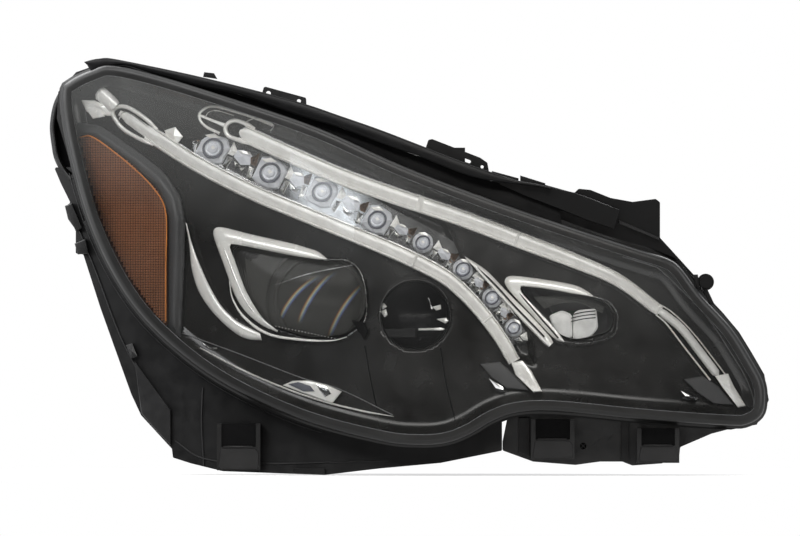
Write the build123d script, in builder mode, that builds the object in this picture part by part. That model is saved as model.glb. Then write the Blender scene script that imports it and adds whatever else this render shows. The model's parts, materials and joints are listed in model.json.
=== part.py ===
"""A car's right-hand headlight: a clear lens on a deep housing, with the lamps, trims and aiming
gear inside it. Millimetres. +X points to the car's centre line, -Y out through the lens, +Z up.
The origin is the centre of the bore in the upper rail bracket's ear."""

import os
from functools import cache

from build123d import *

os.makedirs("parts", exist_ok=True)

# ---------------------------------------------------------------- driving dimensions
# The lens's outer surface: a drum about a nearly upright axis that leans back at the top.
ARC_X = 58
ARC_Y = 530
ARC_Z = -162
ARC_R = 620
LEAN = 8

# The lens's outline, seen from the front as (X, Z), clockwise from its upper outer corner.
LENS_OUTLINE = (
    (-355.5, 52), (-348, 63), (-328, 72.5), (-309, 76.5), (-265.5, 66.6), (-193.5, 44), (-121.5, 19),
    (-49.5, -13.5), (22.5, -41.4), (94.5, -66.6), (166.5, -90), (190, -97.5), (202, -106), (221, -131),
    (247.5, -160), (266, -189), (276, -208), (278, -224), (275, -238), (263, -246), (245, -247.3),
    (166.5, -241.7), (110, -236), (75, -234), (50, -236.7), (31.5, -244), (13.5, -254.7), (-7, -262.5),
    (-31.5, -264.6), (-67.5, -261), (-139.5, -241.7), (-211.5, -208), (-265.5, -166.5), (-301.5, -122.4),
    (-330.3, -63), (-350, 9),
)

OUTLINE_STEPS = 72

LENS_WALL = 3
LENS_SKIRT = 35
FLANGE_FRONT = 30
FLANGE_BACK = 50
FLANGE_WIDTH = 4
HOUSING_WALL = 3
HOUSING_BACK = 150
TRIM_FRONT = 15
TRIM_BACK = 23.7
BEZEL_FRONT = 24
BEZEL_BACK = 26.5

# The aiming gear's axes.
AIM_X = -90
AIM_Y = 30
LEVEL_Z = -140
PIN_R = 3
RUNNING_GAP = 0.05

# The two lamps' optical axes, as (X, Z).
LOW_X, LOW_Z = -121.5, -135
HIGH_X, HIGH_Z = -36, -148.5
SWIVEL_Y = 20

# The rear face's fittings, as (X, Z).
MARKER = (-290, -60)
VERTICAL_SCREW = (-126, -205)
SIDE_SCREW = (26, -205)
MOTOR_Z = -208

# Outlines of the panels and trims, seen from the front as (X, Z).
LOW_OPENING = (
    (-203, -84), (-140, -96), (-94, -99), (-80, -119), (-79, -144), (-94, -165), (-130, -169),
    (-174, -155), (-189, -131),
)
LOW_TRIM = (
    (-218, -69), (-123, -88.5), (-91, -95.5), (-75, -120), (-76, -153), (-97, -172), (-140, -172.5),
    (-174, -166), (-197, -140),
)
TURN_OPENING = (
    (57, -122), (94, -127), (130, -134), (142, -146), (140, -163), (108, -171), (91, -165),
)
TURN_TRIM = (
    (44, -118), (51, -113), (94, -118), (122, -127), (139, -137), (146, -151), (142, -169),
    (108, -175), (84, -166), (68, -151),
)
TURN_ARM = (
    (7, -96), (27, -108), (42, -119), (76, -157), (87, -173), (81, -177), (72, -169), (38, -130),
    (18, -107),
)
TURN_LENS = ((84, -146), (125, -143), (128, -164), (109, -169), (96, -163))
AMBER = (
    (-341, 14), (-326, 14), (-292, -11), (-267, -35), (-258, -58), (-258, -161), (-274, -144),
    (-296, -113), (-320, -64), (-334, -18),
)
AMBER_FRAME = (
    (-346, 20), (-342, 26), (-320, 22.5), (-284, -2.5), (-262, -20), (-248, -40), (-243.5, -63),
    (-244, -100), (-247, -171), (-254, -167), (-278, -145), (-299, -114), (-323, -66), (-337, -18),
)
CRESCENT = (
    (-244, -65), (-240, -92), (-236, -116), (-221, -143), (-204, -161), (-191, -169), (-178, -172),
    (-179, -169.5), (-189, -162), (-203, -148.5), (-217, -130), (-229, -105), (-237, -85), (-242, -65),
)
LOWER_STRIP = (
    (-281, 20), (-265, 8.5), (-230, -13.5), (-184, -37), (-140, -55.5), (-94, -74.5), (-50, -93),
    (-14, -111), (4.5, -125), (22.5, -144), (40.5, -168), (53, -190),
)
UPPER_STRIP = (
    (-194, 17), (-158, 0.5), (-104, -23), (-50, -42.5), (4, -60.5), (58, -81), (112, -101.5),
    (148, -118), (184, -142), (212, -171), (232, -199),
)
LOWER_HEAD = ((-339, 45), (-330, 50), (-296, 41), (-280, 30), (-272, 13), (-290, 12), (-310, 24))
UPPER_HEAD = ((-231, 33), (-218, 40), (-193, 33), (-170, 24), (-170, 4), (-193, 9), (-220, 18))
LOWER_TIP = ((46, -190), (60, -186), (77, -217), (70, -217))
UPPER_TIP = ((226, -200), (238, -197), (260, -231), (254, -231))
LOWER_BLADE = ((-229.5, -178), (-193.5, -197), (-157.5, -212.5), (-121.5, -225), (-85.5, -234), (-55, -239.4))
BLADE_PATCH = ((-155, -212), (-132, -206), (-102, -216), (-111, -228))
STRIP_WIDTH = 12
STRIP_FRAME = 1.7

# The daytime lamps: (X, Z, width), the outer four square and the inner four round.
SQUARE_LAMPS = ((-218, 1.5, 22), (-166.5, -20.5, 22), (-119.5, -38, 21), (-70, -63, 20))
ROUND_LAMPS = ((-29, -83.5, 18), (7, -107.5, 18), (33, -133, 17), (52.5, -160, 16))
LAMP_TRAY = ((-232, 8), (-195, -9), (-143, -31), (-95, -50), (-50, -73), (-10, -95), (20, -120), (44, -149), (58, -172))

# Brackets outside the housing, seen from the front as (X, Z).
SEAL_STRIP = (
    (-335, 80), (-318, 83.5), (-308, 83.5), (-230, 66), (-177, 53), (-104, 30.5), (-28, 2.5), (30, -20),
    (81, -32), (81, -66), (-30, -25), (-140, 22), (-230, 52), (-312, 72),
)
CLIP_BRACKET = ((-174, 50), (-172, 57.5), (-134, 47), (-133, 30), (-174, 40))
RAIL_PLATE = ((-27, 0), (-24, 9), (-20.5, 9.7), (22.5, -7), (29, -11.5), (31, -22), (31, -60), (-27, -40))
INNER_FLANGE = (
    (40, -29), (81, -31.5), (107, -38.7), (111, -35), (121.5, -36), (139.5, -43.2), (159.3, -46.8), (180, -44.1),
    (184, -47), (184, -79), (195, -91), (215, -113), (234, -140), (200, -140), (107, -90), (40, -60),
)
FENDER_LOOP = ((-348, 60), (-359, 47), (-364.3, 34), (-364.7, 18), (-362.5, 2), (-357, -12), (-347, -22))
LOWER_SKIRT = (
    (-363, -15), (-357, -29), (-348, -47), (-353, -51), (-343, -73), (-343, -93), (-336, -94), (-320, -143),
    (-292, -220), (-283, -239), (-255, -269), (-254, -277), (-238, -282), (-209, -289), (-117, -292),
    (-67, -286), (-13, -281), (42, -270), (42, -230), (-100, -230), (-300, -100), (-330, -15),
)
BUMPER_BRACKET = (
    (42.5, -262), (42.5, -270), (70, -280), (108, -283), (130, -280), (150, -280), (159, -283.5), (185, -281.7),
    (201, -277), (202, -267), (230, -255), (249, -250), (230, -235), (50, -225),
)
EAR_R = 3.5
EAR_THICK = 4
BRACKET_HOLE = (115, -266)
BRACKET_HOLE_R = 3
GUIDE_BOSS = (225, -118.8)
GUIDE_BOSS_R = 5.5

REAR = 200
THROUGH = 330


# ---------------------------------------------------------------- helpers
def facing(y):
    """The plane at this Y that faces out of the lamp: its x is +X, its y is +Z, and it extrudes to -Y."""
    return Plane.XZ.offset(-y)


@cache
def behind(depth):
    """Everything that lies `depth` or more behind the lens's outer surface."""
    axis = Plane((ARC_X, ARC_Y, ARC_Z)).rotated((-LEAN, 0, 0))
    with BuildPart() as drum:
        with BuildSketch(axis.offset(-500)):
            Circle(ARC_R - depth)
        extrude(amount=1000)
    return drum.part


def keep_between(front, back):
    """Trims the open part to the layer from `front` to `back` behind the lens's surface."""
    add(behind(front), mode=Mode.INTERSECT)
    add(behind(back), mode=Mode.SUBTRACT)


with BuildLine() as lens_line:
    Spline(*LENS_OUTLINE, periodic=True)


def grown(grow):
    """The lens's outline, `grow` larger all round, as points along it."""
    edge = lens_line.edge()
    stations = [step / OUTLINE_STEPS for step in range(OUTLINE_STEPS)]
    return [edge.position_at(s) + edge.tangent_at(s).rotate(Axis.Z, 90) * grow for s in stations]


@cache
def lens_prism(grow):
    """The lens's outline, `grow` larger, run from front to back of the lamp."""
    with BuildPart() as prism:
        with BuildSketch(facing(REAR)):
            with BuildLine():
                Polyline(*grown(grow), close=True)
            make_face()
        extrude(amount=THROUGH)
    return prism.part


@cache
def depth_block(inset):
    """The housing's depth seen from above: deep behind the lamps, shallow at the inner tail."""
    back = HOUSING_BACK - inset
    with BuildPart() as block:
        with BuildSketch(Plane.XY.offset(-330)):
            Polygon(
                (-400, -120), (-400, back), (70, back), (170, back - 60),
                (300, back - 95), (300, -120), align=None,
            )
        extrude(amount=450)
    return block.part


def front_shape(points, radius=0, mode=Mode.ADD):
    """Adds a closed outline with rounded corners to the open sketch."""
    with BuildLine() as line:
        if radius:
            FilletPolyline(*points, radius=radius, close=True)
        else:
            Polyline(*points, close=True)
    make_face(line.edges(), mode=mode)


def ribbon(points, width, mode=Mode.ADD):
    """Adds a band of this width along a smooth line to the open sketch."""
    with BuildLine() as path:
        Spline(*points)
    trace(path.edges(), line_width=width, mode=mode)


def post(x, z, y_front, y_back, radius, mode=Mode.ADD):
    """Adds a round post along Y to the open part."""
    with BuildSketch(facing(y_back)) as disc:
        with Locations((x, z)):
            Circle(radius)
    extrude(disc.sketch, amount=y_back - y_front, mode=mode)


def block(x0, x1, y0, y1, z0, z1, mode=Mode.ADD):
    """Adds a box between these limits to the open part."""
    with Locations(((x0 + x1) / 2, (y0 + y1) / 2, (z0 + z1) / 2)):
        Box(x1 - x0, y1 - y0, z1 - z0, mode=mode)


parts = {}


def keep(builder, name):
    """Names a finished piece and keeps it for the export at the end."""
    builder.part.label = name
    parts[name] = builder.part


# ---------------------------------------------------------------- housing, lens and seal
with BuildPart() as bowl:
    add(lens_prism(-2))
    add(depth_block(0), mode=Mode.INTERSECT)
    add(behind(FLANGE_BACK - 6), mode=Mode.INTERSECT)

with BuildPart() as bowl_hollow:
    add(lens_prism(-2 - HOUSING_WALL))
    add(depth_block(HOUSING_WALL), mode=Mode.INTERSECT)

with BuildPart() as glue_channel:
    add(lens_prism(0.6))
    keep_between(FLANGE_FRONT - 1, LENS_SKIRT + 3)
    add(lens_prism(-LENS_WALL - 0.6), mode=Mode.SUBTRACT)

with BuildPart() as housing:
    add(lens_prism(FLANGE_WIDTH))
    keep_between(FLANGE_FRONT, FLANGE_BACK)
    add(bowl.part)
    add(bowl_hollow.part, mode=Mode.SUBTRACT)
    add(glue_channel.part, mode=Mode.SUBTRACT)
    # Collars and openings of the service caps, and the holes of the rear fittings.
    post(LOW_X, LOW_Z, HOUSING_BACK, HOUSING_BACK + 8, 48)
    post(HIGH_X, HIGH_Z, HOUSING_BACK, HOUSING_BACK + 8, 34)
    post(LOW_X, LOW_Z, HOUSING_BACK - 4, HOUSING_BACK + 8, 44, mode=Mode.SUBTRACT)
    post(HIGH_X, HIGH_Z, HOUSING_BACK - 4, HOUSING_BACK + 8, 30, mode=Mode.SUBTRACT)
    post(*MARKER, HOUSING_BACK - 4, HOUSING_BACK, 14, mode=Mode.SUBTRACT)
    post(*VERTICAL_SCREW, HOUSING_BACK - 4, HOUSING_BACK, 2.8, mode=Mode.SUBTRACT)
    post(*SIDE_SCREW, HOUSING_BACK - 4, HOUSING_BACK, 2.8, mode=Mode.SUBTRACT)
keep(housing, "housing")

with BuildPart() as lens_hollow:
    add(lens_prism(-LENS_WALL))
    add(behind(LENS_WALL), mode=Mode.INTERSECT)

with BuildPart() as outer_lens:
    add(lens_prism(0))
    keep_between(0, LENS_SKIRT)
    add(lens_hollow.part, mode=Mode.SUBTRACT)
keep(outer_lens, "outer_lens")

with BuildPart() as lens_seal:
    add(lens_prism(0.3))
    keep_between(LENS_SKIRT + 0.3, LENS_SKIRT + 2.7)
    add(lens_prism(-LENS_WALL - 0.3), mode=Mode.SUBTRACT)
keep(lens_seal, "lens_seal")

# ---------------------------------------------------------------- panel, reflectors and trims
with BuildPart() as bezel_skirt:
    add(lens_prism(-6))
    keep_between(BEZEL_FRONT, FLANGE_BACK + 5)
    add(depth_block(HOUSING_WALL + 1), mode=Mode.INTERSECT)
    add(lens_prism(-8), mode=Mode.SUBTRACT)

with BuildPart() as bezel:
    add(lens_prism(-6))
    keep_between(BEZEL_FRONT, BEZEL_BACK)
    add(bezel_skirt.part)
    with BuildSketch(facing(REAR)):
        front_shape(LOW_OPENING, 10)
        front_shape(TURN_OPENING, 6)
        with Locations((HIGH_X, HIGH_Z)):
            Circle(34.5)
        for x, z, size in SQUARE_LAMPS:
            with Locations((x, z)):
                Rectangle(size + 1, size + 1, rotation=-25)
        for x, z, size in ROUND_LAMPS:
            with Locations((x, z)):
                Circle(size / 2 + 0.5)
    extrude(amount=THROUGH, mode=Mode.SUBTRACT)
keep(bezel, "bezel")

with BuildPart() as side_reflector:
    with BuildSketch(facing(REAR)):
        front_shape(AMBER, 3)
    extrude(amount=THROUGH)
    keep_between(16, 21)
keep(side_reflector, "side_reflector")

with BuildPart() as reflector_frame:
    with BuildSketch(facing(REAR)):
        front_shape(AMBER_FRAME, 2)
        with BuildSketch(mode=Mode.SUBTRACT):
            front_shape(AMBER, 3)
    extrude(amount=THROUGH)
    keep_between(13, TRIM_BACK)
keep(reflector_frame, "reflector_frame")

with BuildPart() as crescent_trim:
    with BuildSketch(facing(REAR)):
        front_shape(CRESCENT)
    extrude(amount=THROUGH)
    keep_between(16, TRIM_BACK)
keep(crescent_trim, "crescent_trim")

with BuildPart() as low_beam_trim:
    with BuildSketch(facing(REAR)):
        front_shape(LOW_TRIM, 5)
        front_shape(LOW_OPENING, 10, mode=Mode.SUBTRACT)
    extrude(amount=THROUGH)
    keep_between(TRIM_FRONT, TRIM_BACK)
keep(low_beam_trim, "low_beam_trim")

with BuildPart() as turn_trim:
    with BuildSketch(facing(REAR)):
        front_shape(TURN_TRIM, 3)
        front_shape(TURN_ARM, 1.5)
        front_shape(TURN_OPENING, 6, mode=Mode.SUBTRACT)
    extrude(amount=THROUGH)
    keep_between(TRIM_FRONT, TRIM_BACK)
keep(turn_trim, "turn_trim")

with BuildPart() as turn_lens:
    with BuildSketch(facing(REAR)):
        front_shape(TURN_LENS, 3)
    extrude(amount=THROUGH)
    keep_between(25, 33)
keep(turn_lens, "turn_lens")

with BuildPart() as turn_well:
    with BuildSketch(facing(REAR)):
        front_shape(TURN_OPENING, 6)
    extrude(amount=THROUGH)
    keep_between(0, 47)

with BuildPart() as turn_reflector:
    with BuildSketch(facing(REAR)):
        front_shape(TURN_TRIM, 3)
    extrude(amount=THROUGH)
    keep_between(BEZEL_BACK + 0.3, 49)
    add(turn_well.part, mode=Mode.SUBTRACT)
keep(turn_reflector, "turn_reflector")

with BuildPart() as turn_board:
    with BuildSketch(facing(REAR)):
        front_shape(TURN_LENS, 3)
    extrude(amount=THROUGH)
    keep_between(45, 46.6)
keep(turn_board, "turn_board")

STRIPS = {
    "lower": (LOWER_STRIP, LOWER_HEAD, LOWER_TIP),
    "upper": (UPPER_STRIP, UPPER_HEAD, UPPER_TIP),
}
for name, (line, head, tip) in STRIPS.items():
    with BuildPart() as strip_bed:
        with BuildSketch(facing(REAR)):
            ribbon(line, STRIP_WIDTH + 0.4)
        extrude(amount=THROUGH)
        keep_between(0, TRIM_BACK - 2)

    with BuildPart() as strip_trim:
        with BuildSketch(facing(REAR)):
            ribbon(line, STRIP_WIDTH + 2 * STRIP_FRAME)
            front_shape(head, 4)
            front_shape(tip, 1)
        extrude(amount=THROUGH)
        keep_between(TRIM_FRONT, TRIM_BACK)
        add(strip_bed.part, mode=Mode.SUBTRACT)
    keep(strip_trim, f"{name}_strip_trim")

    with BuildPart() as light_guide:
        with BuildSketch(facing(REAR)):
            ribbon(line, STRIP_WIDTH)
        extrude(amount=THROUGH)
        keep_between(TRIM_FRONT - 1.5, TRIM_BACK - 2.2)
    keep(light_guide, f"{name}_light_guide")

with BuildPart() as lower_blade:
    with BuildSketch(facing(REAR)):
        ribbon(LOWER_BLADE, 2.4)
        front_shape(BLADE_PATCH, 1)
    extrude(amount=THROUGH)
    keep_between(20, TRIM_BACK)
keep(lower_blade, "lower_blade")

# ---------------------------------------------------------------- daytime lamps
LAMP_FRONT = BEZEL_FRONT + 0.2
LAMP_BACK = 36
for number, (x, z, size) in enumerate(SQUARE_LAMPS + ROUND_LAMPS, start=1):
    with BuildPart() as lamp:
        with BuildSketch(facing(REAR)):
            with Locations((x, z)):
                if number <= len(SQUARE_LAMPS):
                    Rectangle(size, size, rotation=-25)
                else:
                    Circle(size / 2)
        extrude(amount=THROUGH)
        keep_between(LAMP_FRONT, LAMP_BACK)
    keep(lamp, f"drl_lens_{number}")

with BuildPart() as lamp_wells:
    with BuildSketch(facing(REAR)):
        for x, z, size in SQUARE_LAMPS:
            with Locations((x, z)):
                Rectangle(size + 0.6, size + 0.6, rotation=-25)
        for x, z, size in ROUND_LAMPS:
            with Locations((x, z)):
                Circle(size / 2 + 0.3)
    extrude(amount=THROUGH)
    keep_between(0, LAMP_BACK)

with BuildPart() as drl_tray:
    with BuildSketch(facing(REAR)):
        ribbon(LAMP_TRAY, 30)
    extrude(amount=THROUGH)
    keep_between(BEZEL_BACK + 0.3, LAMP_BACK + 8)
    add(lamp_wells.part, mode=Mode.SUBTRACT)
keep(drl_tray, "drl_tray")

with BuildPart() as drl_board:
    with BuildSketch(facing(REAR)):
        ribbon(LAMP_TRAY, 26)
    extrude(amount=THROUGH)
    keep_between(LAMP_BACK + 8.2, LAMP_BACK + 10)
keep(drl_board, "drl_board")

# ---------------------------------------------------------------- brackets outside the housing
with BuildPart() as upper_seal_strip:
    with BuildSketch(facing(REAR)):
        front_shape(SEAL_STRIP, 2)
    extrude(amount=THROUGH)
    keep_between(8, FLANGE_FRONT - 0.3)
    add(lens_prism(0.5), mode=Mode.SUBTRACT)
keep(upper_seal_strip, "upper_seal_strip")

with BuildPart() as clip_bracket:
    with BuildSketch(facing(REAR)):
        front_shape(CLIP_BRACKET, 2)
        with Locations((-168, 51)):
            Circle(2.2, mode=Mode.SUBTRACT)
        with Locations((-140.5, 44)):
            Circle(1.8, mode=Mode.SUBTRACT)
    extrude(amount=THROUGH)
    keep_between(FLANGE_FRONT + 2, FLANGE_FRONT + 6)
    add(lens_prism(FLANGE_WIDTH), mode=Mode.SUBTRACT)
keep(clip_bracket, "clip_bracket")

RAIL_Y = -30
with BuildPart() as rail_bracket:
    with BuildSketch(facing(RAIL_Y + 4)):
        front_shape(RAIL_PLATE, 1.5)
        with Locations((10.8, -9.9)):
            SlotOverall(7, 2.8, rotation=-20, mode=Mode.SUBTRACT)
        with Locations((24.3, -15.3)):
            Circle(1.4, mode=Mode.SUBTRACT)
    extrude(amount=4)
    block(-18, 9, RAIL_Y + 4, 14, -EAR_THICK / 2, EAR_THICK / 2)
    for x in (-18, 6):
        block(x, x + 3, RAIL_Y + 4, 14, -60, -EAR_THICK / 2)
    with Locations((0, 0, 0)):
        Hole(EAR_R)
    add(lens_prism(FLANGE_WIDTH), mode=Mode.SUBTRACT)
keep(rail_bracket, "rail_bracket")

INNER_Y = -44
with BuildPart() as inner_flange:
    with BuildSketch(facing(INNER_Y + 4)):
        front_shape(INNER_FLANGE, 2)
    extrude(amount=4)
    post(*GUIDE_BOSS, INNER_Y, INNER_Y + 4, GUIDE_BOSS_R + 2)
    post(*GUIDE_BOSS, INNER_Y - 8, INNER_Y, GUIDE_BOSS_R)
    add(lens_prism(FLANGE_WIDTH), mode=Mode.SUBTRACT)
keep(inner_flange, "inner_flange")

with BuildPart() as fender_loop:
    with BuildSketch(facing(REAR)):
        ribbon(FENDER_LOOP, 4.5)
    extrude(amount=THROUGH)
    keep_between(FLANGE_FRONT + 4, FLANGE_BACK - 4)
    add(lens_prism(FLANGE_WIDTH), mode=Mode.SUBTRACT)
keep(fender_loop, "fender_loop")


def receptacle(x0, x1, y0, y1, z0, z1, back_wall=4):
    """Adds a clip's box to the open part, with a pocket that opens to the front and upwards."""
    block(x0, x1, y0, y1, z0, z1)
    block(x0 + 4, x1 - 4, y0 + 4, y1 - back_wall, z0 + 4, z1, mode=Mode.SUBTRACT)
    block(x0 + 4, x1 - 4, y0, y0 + 4, (z0 + z1) / 2, z1, mode=Mode.SUBTRACT)


with BuildPart() as lower_skirt:
    with BuildSketch(facing(REAR)):
        front_shape(LOWER_SKIRT, 1.5)
    extrude(amount=THROUGH)
    keep_between(36, 41)
    receptacle(-214, -175, -38, 4, -288, -246, back_wall=22)
    add(lens_prism(FLANGE_WIDTH), mode=Mode.SUBTRACT)
    add(fender_loop.part, mode=Mode.SUBTRACT)
keep(lower_skirt, "lower_skirt")

BUMPER_Y = -52
with BuildPart() as bumper_bracket:
    with BuildSketch(facing(BUMPER_Y + 4)):
        front_shape(BUMPER_BRACKET, 2)
        with Locations(BRACKET_HOLE):
            Circle(BRACKET_HOLE_R, mode=Mode.SUBTRACT)
    extrude(amount=4)
    receptacle(68, 107, BUMPER_Y - 22, BUMPER_Y, -278, -242)
    receptacle(163, 201, BUMPER_Y - 22, BUMPER_Y, -281, -250)
    add(lens_prism(FLANGE_WIDTH), mode=Mode.SUBTRACT)
keep(bumper_bracket, "bumper_bracket")

# ---------------------------------------------------------------- aiming gear
with BuildPart() as pivot_brackets:
    for z0, z1 in ((-60, -52), (-242, -234)):
        block(AIM_X - 8, AIM_X + 8, AIM_Y - 8, HOUSING_BACK - HOUSING_WALL, z0, z1)
        with Locations((AIM_X, AIM_Y, (z0 + z1) / 2)):
            Cylinder(PIN_R + RUNNING_GAP, 20, mode=Mode.SUBTRACT)
keep(pivot_brackets, "pivot_brackets")

with BuildPart() as aim_frame:
    with BuildSketch(facing(AIM_Y + 4)):
        Polygon((-198, -64), (18, -64), (18, -230), (-141, -230), (-198, -173), align=None)
        Polygon((-190, -72), (10, -72), (10, -222), (-138, -222), (-190, -170), align=None, mode=Mode.SUBTRACT)
    extrude(amount=8)
    with Locations((AIM_X, AIM_Y, -59), (AIM_X, AIM_Y, -235)):
        Cylinder(PIN_R, 11)
    block(18, 34, AIM_Y - 4, AIM_Y + 4, SIDE_SCREW[1] - 8, SIDE_SCREW[1] + 8)
    post(*SIDE_SCREW, AIM_Y - 8, AIM_Y + 8, 4.2, mode=Mode.SUBTRACT)
    with Locations((AIM_X, AIM_Y, LEVEL_Z)):
        Cylinder(PIN_R + RUNNING_GAP, 260, rotation=(0, 90, 0), mode=Mode.SUBTRACT)
keep(aim_frame, "aim_frame")

with BuildPart() as carrier:
    with BuildSketch(facing(35)):
        Polygon((-184, -80), (4, -80), (4, -190), (-162, -190), (-184, -168), align=None)
        Polygon((-176, -92), (-4, -92), (-4, -178), (-164, -178), (-176, -166), align=None, mode=Mode.SUBTRACT)
    extrude(amount=10)
    for x in (-189.5, 9.5):
        with Locations((x, AIM_Y, LEVEL_Z)):
            Cylinder(PIN_R, 11, rotation=(0, 90, 0))
    post(HIGH_X, HIGH_Z, 20, 40, 33.5, mode=Mode.SUBTRACT)
    with Locations((LOW_X, SWIVEL_Y + 9, -87), (LOW_X, SWIVEL_Y + 9, -183)):
        Box(20, 26, 10)
    with Locations((LOW_X, SWIVEL_Y, -135)):
        Cylinder(4 + RUNNING_GAP, 120, mode=Mode.SUBTRACT)
    # The levelling fork, and the lug that the vertical aim screw runs through.
    block(AIM_X - 10, AIM_X + 10, 25, 35, -218, -190)
    for x in (AIM_X - 10, AIM_X + 5.2):
        block(x, x + 4.8, 35, 50, -218, -196)
    block(VERTICAL_SCREW[0] - 9, VERTICAL_SCREW[0] + 9, 26, 34, -215, -190)
    post(*VERTICAL_SCREW, 20, 40, 5, mode=Mode.SUBTRACT)
keep(carrier, "carrier")

with BuildPart() as motor_shaft:
    post(AIM_X, MOTOR_Z, 46, 112, 3)
    with Locations((AIM_X, 44, MOTOR_Z)):
        Sphere(4)
keep(motor_shaft, "motor_shaft")

with BuildPart() as level_motor:
    block(AIM_X - 22, AIM_X + 22, 100, HOUSING_BACK - HOUSING_WALL, MOTOR_Z - 18, MOTOR_Z + 18)
    post(AIM_X, MOTOR_Z, 90, 101, 9)
    fillet(level_motor.edges().filter_by(Axis.Y), 4)
    post(AIM_X, MOTOR_Z, 90, 125, 3.3, mode=Mode.SUBTRACT)
keep(level_motor, "level_motor")

for name, (x, z) in {"vertical_aim_screw": VERTICAL_SCREW, "side_aim_screw": SIDE_SCREW}.items():
    with BuildPart() as aim_screw:
        post(x, z, 8, HOUSING_BACK + 3, 2.5)
        post(x, z, HOUSING_BACK + 0.5, HOUSING_BACK + 9, 8)
        with BuildSketch(facing(HOUSING_BACK + 9)) as drive:
            with Locations((x, z)):
                RegularPolygon(3.2, 6)
        extrude(drive.sketch, amount=6, mode=Mode.SUBTRACT)
    keep(aim_screw, name)

# ---------------------------------------------------------------- low-beam lamp, which swivels
with BuildPart() as low_beam_lens:
    with BuildSketch(Plane.XY):
        with BuildLine():
            dome = RadiusArc((0, -20), (38, -4), 52.5)
            Polyline(dome @ 1, (38, 0), (0, 0), dome @ 0)
        make_face()
    revolve(axis=Axis.Y)
low_beam_lens.part.position = (LOW_X, 0, LOW_Z)
keep(low_beam_lens, "low_beam_lens")

with BuildPart() as lens_holder:
    post(LOW_X, LOW_Z, -6, 10, 42)
    post(LOW_X, LOW_Z, -6, 0, 38.3, mode=Mode.SUBTRACT)
    post(LOW_X, LOW_Z, 0, 10, 35, mode=Mode.SUBTRACT)
keep(lens_holder, "lens_holder")

with BuildPart() as low_beam_housing:
    block(LOW_X - 40, LOW_X + 40, 10, 56, LOW_Z - 38, LOW_Z + 38)
    fillet(low_beam_housing.edges().filter_by(Axis.Y), 10)
    post(LOW_X, LOW_Z, 10, 52, 34, mode=Mode.SUBTRACT)
    for z in (-90.5, -179.5):
        with Locations((LOW_X, SWIVEL_Y, z)):
            Cylinder(4, 14)
keep(low_beam_housing, "low_beam_housing")

with BuildPart() as low_beam_board:
    block(LOW_X - 26, LOW_X + 26, 56, 57.6, LOW_Z - 26, LOW_Z + 26)
keep(low_beam_board, "low_beam_board")

FAN_X, FAN_Z = LOW_X, LOW_Z
with BuildPart() as low_beam_heat_sink:
    block(LOW_X - 30, LOW_X + 30, 57.6, 64, LOW_Z - 30, LOW_Z + 30)
    with Locations((LOW_X, 0, LOW_Z)):
        with GridLocations(8, 1, 8, 1):
            with Locations((0, 80, 0)):
                Box(2, 32, 60)
    post(FAN_X, FAN_Z, 80, 96, 27, mode=Mode.SUBTRACT)
    post(FAN_X, FAN_Z, 64, 92, 2)
keep(low_beam_heat_sink, "low_beam_heat_sink")

with BuildPart() as fan_rotor:
    post(FAN_X, FAN_Z, 84, 95, 9)
    for turn in range(7):
        with Locations(Location((FAN_X, 89, FAN_Z), (0, turn * 360 / 7, 0))):
            with Locations(Location((16, 0, 0), (35, 0, 0))):
                Box(17, 1.2, 9)
    post(FAN_X, FAN_Z, 84, 92.3, 2 + RUNNING_GAP, mode=Mode.SUBTRACT)
keep(fan_rotor, "fan_rotor")

with BuildPart() as swivel_motor:
    block(-172, -134, 35, 56, -95, -79)
    fillet(swivel_motor.edges().filter_by(Axis.Y), 2)
keep(swivel_motor, "swivel_motor")

# ---------------------------------------------------------------- high-beam lamp, fixed to the carrier
with BuildPart() as high_beam_housing:
    post(HIGH_X, HIGH_Z, -38, 35, 33)
    block(-62, -10, 35, 38, -190, -80)
    post(HIGH_X, HIGH_Z, -38, 30, 30.5, mode=Mode.SUBTRACT)
keep(high_beam_housing, "high_beam_housing")

with BuildPart() as high_beam_lens:
    with BuildSketch(Plane.XY):
        with BuildLine():
            glass = RadiusArc((0, -30), (30, -18), 43.5)
            Polyline(glass @ 1, (30, -14), (0, -14), glass @ 0)
        make_face()
    revolve(axis=Axis.Y)
high_beam_lens.part.position = (HIGH_X, 0, HIGH_Z)
keep(high_beam_lens, "high_beam_lens")

with BuildPart() as high_beam_heat_sink:
    block(-62, -10, 38, 43, -175, -122)
    for x in (-60, -50, -40, -30, -20, -12):
        block(x - 1, x + 1, 43, 66, -175, -122)
keep(high_beam_heat_sink, "high_beam_heat_sink")

# ---------------------------------------------------------------- service caps and rear fittings
for name, x, z, radius in (("low_beam_cap", LOW_X, LOW_Z, 44), ("high_beam_cap", HIGH_X, HIGH_Z, 30)):
    with BuildPart() as cap:
        post(x, z, HOUSING_BACK + 8.2, HOUSING_BACK + 12, radius + 5)
        post(x, z, HOUSING_BACK - 1, HOUSING_BACK + 9, radius - 0.3)
        post(x, z, HOUSING_BACK - 1, HOUSING_BACK + 6, radius - 3, mode=Mode.SUBTRACT)
        fillet(cap.faces().sort_by(Axis.Y)[-1].edges(), 2)
        block(x - radius * 0.75, x + radius * 0.75, HOUSING_BACK + 12, HOUSING_BACK + 22, z - 4, z + 4)
    keep(cap, name)

with BuildPart() as marker_bulb_holder:
    post(*MARKER, HOUSING_BACK - 12, HOUSING_BACK + 4, 13.7)
    post(*MARKER, HOUSING_BACK + 0.3, HOUSING_BACK + 4, 17)
    block(MARKER[0] - 12, MARKER[0] + 12, HOUSING_BACK + 4, HOUSING_BACK + 12, MARKER[1] - 3, MARKER[1] + 3)
    post(*MARKER, HOUSING_BACK - 12, HOUSING_BACK - 6, 4.7, mode=Mode.SUBTRACT)
keep(marker_bulb_holder, "marker_bulb_holder")

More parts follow.
